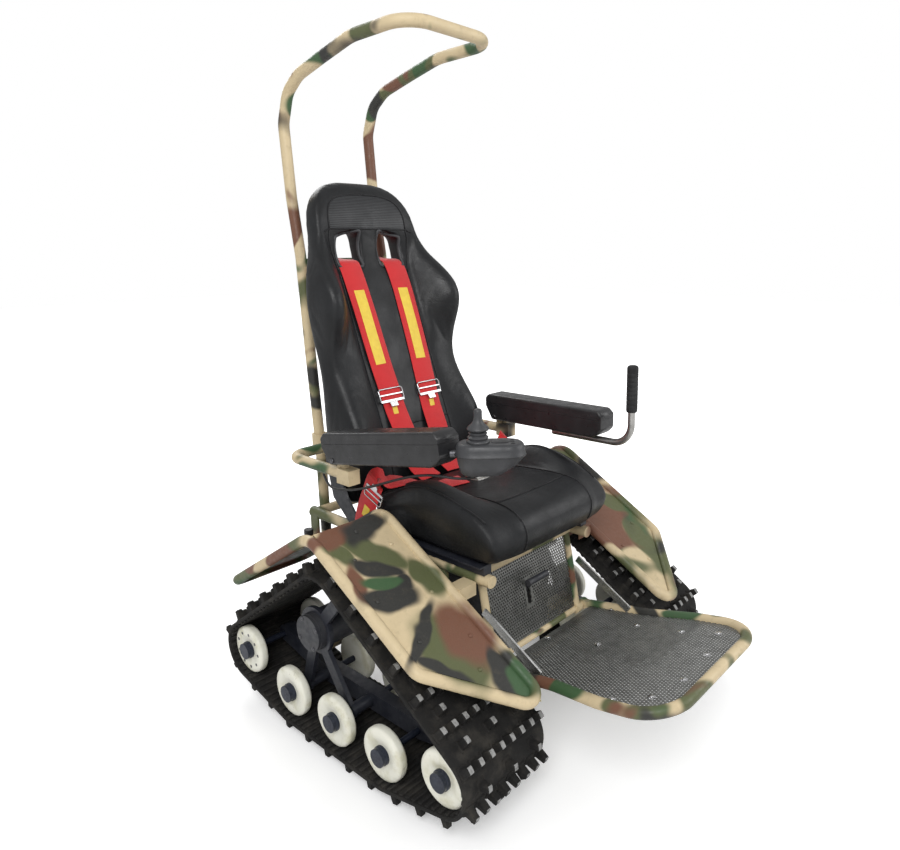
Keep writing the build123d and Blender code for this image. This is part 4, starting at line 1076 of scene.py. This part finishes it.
def filled_out(cover, held, voxel):
    # Blows the cover up as cloth between the places that are held, and keeps the result as its mesh.
    scene.frame_set(1)
    trial = linked("padding", baked(cover))
    remesh = trial.modifiers.new("remesh", "REMESH")
    remesh.mode = "VOXEL"
    remesh.voxel_size = voxel * MM
    mesh = baked(trial)
    trial.modifiers.clear()
    trial.data = mesh
    fast = [v.index for v in mesh.vertices if held(v.co / MM, v.normal)]
    start = [v.co - v.normal * SUNK * MM for v in mesh.vertices]
    for v, place in zip(mesh.vertices, start):
        v.co = place
    trial.vertex_groups.new(name="held").add(fast, 1.0, "REPLACE")
    cloth = trial.modifiers.new("padding", "CLOTH")
    cloth.settings.vertex_group_mass = "held"
    cloth.settings.use_pressure = True
    cloth.settings.uniform_pressure_force = PRESSURE
    cloth.settings.effector_weights.gravity = 0.0
    cloth.collision_settings.use_collision = False
    for number in range(1, FRAMES + 1):
        scene.frame_set(number)
    blown = trial.evaluated_get(bpy.context.evaluated_depsgraph_get())
    places = [v.co.copy() for v in blown.data.vertices]
    scene.frame_set(1)
    trial.modifiers.clear()
    for v, place in zip(mesh.vertices, places):
        way = place - v.co
        if way.length > 1e-6:
            v.co += way.normalized() * CAP_TRAVEL * tanh(way.length / CAP_TRAVEL)
    bpy.data.objects.remove(trial)
    mesh.materials.clear()
    mesh.materials.append(cover.data.materials[0])
    for face in mesh.polygons:
        face.use_smooth = True
        face.material_index = 0
    cover.modifiers.clear()
    cover.data = mesh
    subdivide(cover, 1)


def make_piping(name, cover, runs):
    # Thin cords on the cover. Each run has its places and the way they drop onto it.
    parts = []
    for places, way in runs:
        laid = laid_on(cover, between(places), way, 0.7)
        if len(laid) > 2:
            parts.append(swept(laid, 2.0, sides=6))
    add_piece(name, parts, PIPING)


# Seat back: rings of points from the foot to the top of the head, in millimetres. The columns are height,
# half width, front at the middle, front of the side wing, rear at the middle and rear at the side

BACK_RINGS = (
    (500, 238, 238, 292, 380, 378),
    (530, 241, 238, 286, 384, 384),
    (575, 243, 246, 262, 388, 392),
    (625, 243, 258, 244, 392, 397),
    (669, 243, 272, 238, 396, 400),
    (715, 242, 290, 250, 402, 404),
    (770, 238, 311, 290, 408, 408),
    (830, 234, 335, 332, 418, 414),
    (885, 233, 356, 352, 432, 426),
    (935, 236, 375, 346, 446, 440),
    (985, 240, 395, 328, 462, 450),
    (1030, 242, 412, 318, 478, 456),
    (1070, 240, 427, 330, 492, 458),
    (1100, 234, 439, 356, 502, 462),
    (1130, 222, 451, 388, 512, 470),
    (1150, 210, 457, 410, 518, 480),
    (1175, 197, 463, 432, 525, 492),
    (1209, 184, 463, 449, 533, 509),
    (1226, 181, 461, 455, 537, 515),
    (1245, 178, 462, 460, 540, 520),
    (1280, 170, 470, 472, 544, 528),
    (1310, 152, 482, 486, 544, 532),
    (1334, 126, 497, 500, 542, 535),
    (1348, 96, 510, 513, 538, 534),
    (1355, 58, 520, 522, 533, 531),
)
SLOT_IN = 37
SLOT_OUT = 109
SLOT_LOW = 1130
SLOT_TOP = 1209
SLOT_SLANT = 9
SLOT_COLUMNS = (2, 3)
FRAME_SIDE = 6
FRAME_FOOT = 7
FRAME_TOP = 5
FRAME_STEP = 4.99
FLAT_COLUMNS = (0.0, 18.0, 37.0, 73.0, 109.0, 122.0)
# The wing's points: share of the way out, and share of the way forward, or of the way back to the rear
WING_FRONT = ((0.22, 0.2), (0.42, 0.62), (0.60, 0.93), (0.76, 1.0))
WING_SIDE = ((0.91, 0.05), (0.985, 0.17), (1.0, 0.38), (1.0, 0.68), (0.975, 0.90), (0.88, 1.0))


def back_ring(half, front, crest, rear, rear_side):
    # One side's points from the middle front round to the middle rear.
    squeeze = min(1.0, half / 182.0)
    flat = [x * squeeze for x in FLAT_COLUMNS]
    inner = flat[-1]
    points = [(x, front) for x in flat]
    points += [(inner + (half - inner) * t, front + (crest - front) * rise) for t, rise in WING_FRONT]
    points += [(inner + (half - inner) * t, crest + (rear_side - crest) * back) for t, back in WING_SIDE]
    points.append((inner + (half - inner) * 0.55, rear_side + (rear - rear_side) * 0.55))
    return points + [(x, rear) for x in reversed(flat)]


def slant(x, z):
    # The slots' upper edge rises towards the middle.
    if z != SLOT_TOP or not 30 < x < 115:
        return 0.0
    return SLOT_SLANT * (1.0 - 2.0 * (x - SLOT_IN) / (SLOT_OUT - SLOT_IN))


def head_line():
    # The printed panel's upper edge, from the middle out and down.
    half, low, tall, power = HEAD_PANEL
    turns = [radians(a) for a in range(90, -1, -6)]
    return tuple((half * cos(a) ** (2 / power), low + tall * sin(a) ** (2 / power)) for a in turns)


BACK_SEAMS = (
    ((122, 520), (122, 800), (122, 1000), (122, 1110)),
    ((122, 1110), (134, 1160), (139, 1200), (134, 1225)),
    ((0, 1225), (60, 1225), (134, 1225), (152, 1217)),
    head_line(),
    ((0, 700), (60, 700), (122, 700)),
)


def back_held(p, normal):
    # Rear shell, foot, sewn lines and the slots' surrounds.
    if normal.y > 0.3 or p.z < 522:
        return True
    slots = 20 < abs(p.x) < 128 and SLOT_LOW - 16 < p.z < SLOT_TOP + 14
    return slots or from_lines(p.x, p.z, BACK_SEAMS) < SEAM_HOLD


def make_slot_frames(back):
    parts = []
    inner, outer, low = SLOT_IN - FRAME_SIDE, SLOT_OUT + FRAME_SIDE, SLOT_LOW - FRAME_FOOT
    high = SLOT_TOP + FRAME_TOP
    corners = [(inner, low), (outer, low), (outer, high - SLOT_SLANT), (inner, high + SLOT_SLANT)]
    corners.append(corners[0])
    for s in (-1, 1):
        edge = between([(s * x, 200, z) for x, z in corners], FRAME_STEP)[:-1]
        laid = laid_on(back, edge, (0, 1, 0), 0.5)
        for _ in range(3):
            laid = [(laid[i - 1] + laid[i] * 2 + laid[(i + 1) % len(laid)]) / 4 for i in range(len(laid))]
        parts.append(swept(laid, 4.6, True, 10))
    add_piece("slot_frames", parts, GREY_PLASTIC)


def make_back():
    rings = []
    for z, *sizes in BACK_RINGS:
        half_ring = [(x, y, z + slant(x, z)) for x, y in back_ring(*sizes)]
        rings.append(half_ring + [(-x, y, h) for x, y, h in reversed(half_ring[1:-1])])
    count = len(rings[0])
    rear = count // 2
    heights = [row[0] for row in BACK_RINGS]
    low, top = heights.index(SLOT_LOW), heights.index(SLOT_TOP)
    faces = []
    for number, face in enumerate(tube_faces(len(rings), count)):
        i, k = divmod(number, count)
        column = min(k, count - 1 - k)
        cut = column in SLOT_COLUMNS or rear - 1 - column in SLOT_COLUMNS
        if not (cut and low <= i < top):
            faces.append(face)

    def wall(side, a, b):
        # One face of a slot, from the front edge a-b through to the rear.
        ends = (a, b, (b[0], rear - b[1]), (a[0], rear - a[1]))
        faces.append(tuple(i * count + side * k % count for i, k in ends))

    for side in (1, -1):
        for i in range(low, top):
            for k in (SLOT_COLUMNS[0], SLOT_COLUMNS[-1] + 1):
                wall(side, (i, k), (i + 1, k))
        for i in (low, top):
            for k in SLOT_COLUMNS:
                wall(side, (i, k), (i, k + 1))
    shape = ([p for ring in rings for p in ring], faces)
    obj = add_piece("seat_back_cover", [shape], BACK_VINYL, stands_for=("seat_back",))
    subdivide(obj, 2)
    filled_out(obj, back_held, 8)
    runs = [([(s * x, 200, z) for x, z in line], (0, 1, 0)) for line in BACK_SEAMS for s in (-1, 1)]
    make_piping("seat_back_piping", obj, runs)
    make_slot_frames(obj)


# Seat cushion: outlines in the Y-Z plane, blended across the width

CUSHION_HALF = 241
MIDDLE = (
    (214, 472), (214, 520), (214, 560), (190, 569), (140, 573), (80, 579), (20, 586), (-40, 593), (-100, 600),
    (-150, 600), (-188, 590), (-212, 568), (-222, 540), (-216, 510), (-200, 484), (-180, 471), (-80, 470),
    (100, 470),
)
BOLSTER = (
    (214, 472), (214, 520), (212, 556), (196, 574), (140, 602), (80, 629), (30, 643), (-15, 641), (-70, 627),
    (-120, 609), (-168, 586), (-198, 560), (-212, 534), (-206, 506), (-190, 483), (-168, 471), (-80, 470),
    (100, 470),
)
CUSHION_COLUMNS = (0.0, 0.2, 0.4, 0.54, 0.62, 0.70, 0.78, 0.86, 0.93, 0.975, 1.0)
CUSHION_SEAMS = (
    ((140, 200), (140, 100), (138, -20), (136, -120), (134, -200)),
    ((0, -128), (70, -128), (136, -124)),
    ((226, 190), (228, 100), (228, 0), (224, -100), (216, -165)),
)
FRONT_SEAM = ((134, 600), (132, 540), (130, 500))


def cushion_outline(t):
    # Outline at a share t of the half width, pulled in where the side rounds off.
    share = wing((abs(t) - 0.54) / 0.26)
    edge = max(0.0, (abs(t) - 0.86) / 0.14)
    pull = 1.0 - sqrt(max(0.0, 1.0 - edge * edge))
    out = []
    for (y0, z0), (y1, z1) in zip(MIDDLE, BOLSTER):
        y = y0 + (y1 - y0) * share
        z = z0 + (z1 - z0) * share
        y += (0.0 - y) * 0.13 * pull
        z += (535.0 - z) * 0.36 * pull
        out.append((y, z))
    return out


def cushion_top(y):
    # Height of the cushion's top along the middle, before it is padded.
    top = cushion_outline(0)[2:13]
    for (y0, z0), (y1, z1) in zip(top, top[1:]):
        if y1 <= y <= y0:
            return z0 + (z1 - z0) * (y0 - y) / (y0 - y1)


def cushion_held(p, normal):
    # Underside and sewn lines.
    if normal.z < -0.35 or p.z < 490:
        return True
    if p.y < -150 and p.z < 600:
        return abs(abs(p.x) - 132) < SEAM_HOLD
    return from_lines(p.x, p.y, CUSHION_SEAMS) < SEAM_HOLD


def make_cushion():
    columns = [-t for t in reversed(CUSHION_COLUMNS[1:])] + list(CUSHION_COLUMNS)
    verts = []
    for t in columns:
        waist = 0.09 * max(0.0, abs(t) - 0.7) / 0.3
        for y, z in cushion_outline(t):
            tuck = 1.0 - waist * max(0.0, (535 - z) / 65.0)
            verts.append((t * CUSHION_HALF * tuck, y, z))
    shape = (verts, tube_faces(len(columns), len(MIDDLE)))
    obj = add_piece("seat_cushion_cover", [shape], SEAT, stands_for=("seat_cushion",))
    subdivide(obj, 2)
    filled_out(obj, cushion_held, 7)
    runs = [([(s * x, y, 600) for x, y in line], (0, 0, -1)) for line in CUSHION_SEAMS for s in (-1, 1)]
    runs += [([(s * x, 0, z) for x, z in FRONT_SEAM], (0, 1, 0)) for s in (-1, 1)]
    make_piping("cushion_piping", obj, runs)


# Harness: shoulder and lap straps, their labels and slides, and the buckle on the cushion

STRAP_W = 72
LAP_W = 62
STRAP_T = 2.6
LABEL_T = 0.6
BAR = (584, 1135)
BAR_WRAP = 12
BACK_SLOPE = 0.387
# Height and distance from the middle, where the shoulder straps, their labels and tags lie on the back
SHOULDER_RUN = ((1118, 80), (1060, 80), (1000, 78), (930, 76), (860, 73), (800, 69), (742, 65))
LABEL_RUN = ((1062, 79), (1010, 78), (950, 77), (905, 75.5), (866, 74))
TAG_RUN = ((752, 69), (730, 68), (706, 66))
# The lap strap's places on the cushion, and its tag's places beside the seat
LAP_RUN = ((168, 108), (128, 92), (88, 78), (45, 66))
LAP_TAG_RUN = ((214, 512), (207, 526), (200, 541))
LAP_WAY = Vector((0, 1, 0.42))


def on_back(x, z, off):
    # A place in front of the seat back, off millimetres clear of its face over a strap's width.
    tries = [(k, 200, z) for k in (x, x - 30, x + 30)]
    hits = laid_on(bpy.data.objects["seat_back_cover"], tries, (0, 1, 0), off)
    return Vector((x, min(h.y for h in hits), z))


def on_cushion(x, y, off):
    return laid_on(bpy.data.objects["seat_cushion_cover"], [(x, y, 700)], (0, 0, -1), off)[0]


def add_strap(name, points, ways, width, thick, material, stands_for=()):
    shape = strap(points, ways, width, thick)
    add_piece(name, [shape], material, stands_for=stands_for, crease=0.8)


def add_hardware(name, parts, material, stands_for=(), width=0.8):
    bevel(add_piece(name, parts, material, stands_for=stands_for, crease=0.6), width, 2)


def make_shoulder_straps():
    for side, s in SIDES:
        points = [(s * 78, 524, 1139.2), (s * 78, 544, 1140.2), (s * 78, 563, 1130.5)]
        points += [(s * 78, *around(BAR, BAR_WRAP, radians(a))) for a in (-100, -60, -20, 20, 60, 100)]
        points += [(s * 78, 556, 1145), (s * 78, 520, 1141.5), (s * 79, 470, 1139)]
        points += [on_back(s * x, z, 2.6) for z, x in SHOULDER_RUN]
        points += [(s * 60, 262, 672), (s * 54, 225, 598), on_cushion(s * 50, 180, 4)]
        stands_for = ("shoulder_straps",) if s < 0 else ()
        ways = [ACROSS] * len(points)
        add_strap("shoulder_strap_" + side, points, ways, STRAP_W, STRAP_T, WEBBING, stands_for)


def slide_buckle(centre, u, v, width, height):
    # A bent wire frame on a flat lower bar, with a release tongue hanging from it.
    n = Vector(u).cross(Vector(v)).normalized()
    u = Vector(u).normalized()
    v = n.cross(u)
    w, h = width / 2, height / 2
    bends = ((-1, -0.9), (-1, 0.7), (-0.9, 1), (0.9, 1), (1, 0.7), (1, -0.9))
    parts = [swept([centre + u * a * w + v * b * h for a, b in bends], 2.2)]
    parts.append(block(centre - v * h, u, v, (width, 7, 3.4)))
    parts.append(block(centre, u, v, (width, 4, 2.4)))
    lean = (v - n * 0.2).normalized()
    parts.append(block(centre - v * (h + 9) + n * 2.5, u, lean, (width * 0.30, 16, 2.2)))
    return parts


def make_strap_fittings():
    slides = []
    for side, s in SIDES:
        label = [on_back(s * x, z, 4.6) for z, x in LABEL_RUN]
        add_strap("strap_label_" + side, label, [ACROSS] * 5, 35, LABEL_T, LABEL)
        slides += slide_buckle(on_back(s * 71, 786, 7.0), ACROSS, (0, BACK_SLOPE, 1), 82, 34)
        tag = [on_back(s * x, z, 4.8) for z, x in TAG_RUN]
        add_strap("strap_tag_" + side, tag, [ACROSS] * 3, 17, LABEL_T, LABEL)
    add_hardware("strap_slides", slides, CHROME, ("strap_adjusters",))
    slides = []
    for side, s in SIDES:
        centre = Vector((s * 254.5, 176, 576))
        slides += slide_buckle(centre, LAP_WAY, Vector((-1, -28 * s, 48 * s)), 64, 30)
        tag = [(s * 256.2, y, z) for y, z in LAP_TAG_RUN]
        add_strap("lap_tag_" + side, tag, [LAP_WAY] * 3, 22, LABEL_T, LABEL)
    add_hardware("lap_slides", slides, CHROME)


def make_latch():
    # The buckle on the cushion: a pressed plate, its cover and a lift lever.
    slope = (cushion_top(40) - cushion_top(80)) / 40.0
    v = Vector((0, -1, slope)).normalized()
    n = v.cross(ACROSS)
    centre = Vector((0, 60, cushion_top(60) + 6.4))
    plate = [block(centre - n * 3, ACROSS, v, (50, 60, 4)), block(centre + n, ACROSS, v, (44, 44, 6))]
    add_hardware("latch_plate", plate, STEEL, ("harness_buckle",), 1.5)
    lever = [block(centre + n * 5.0 - v * 4, ACROSS, v + n * 0.08, (38, 30, 3))]
    add_hardware("latch_lever", lever, DARK_STEEL, (), 1.2)


def make_lap_straps():
    for side, s in SIDES:
        points = [(s * 253, 232, 466), (s * 254, 214, 520), (s * 253, 190, 572), (s * 249, 166, 620)]
        points += [(s * 232, 145, on_cushion(s * 222, 140, 0).z + 22), on_cushion(s * 203, 124, 9)]
        points += [on_cushion(s * x, y, 6) for x, y in LAP_RUN]
        ways = [LAP_WAY] * 3 + [(0, 1, 0.40), (-0.25 * s, 1, 0.25), (-0.35 * s, 1, 0.1)]
        ways += [(-0.34 * s, 0.94, 0)] * len(LAP_RUN)
        stands_for = ("lap_straps",) if s < 0 else ()
        add_strap("lap_strap_" + side, points, ways, LAP_W, STRAP_T, WEBBING, stands_for)


make_camera()
dress_carried_nodes()
for side, s in SIDES:
    make_track(side, s)
    make_wheels(side, s)
make_fasteners()
make_sheets()
make_armrests()
make_joystick()
make_grip()
make_cable()
make_back()
make_cushion()
make_shoulder_straps()
make_strap_fittings()
make_latch()
make_lap_straps()
stage()
scene.view_settings.view_transform = "Standard"
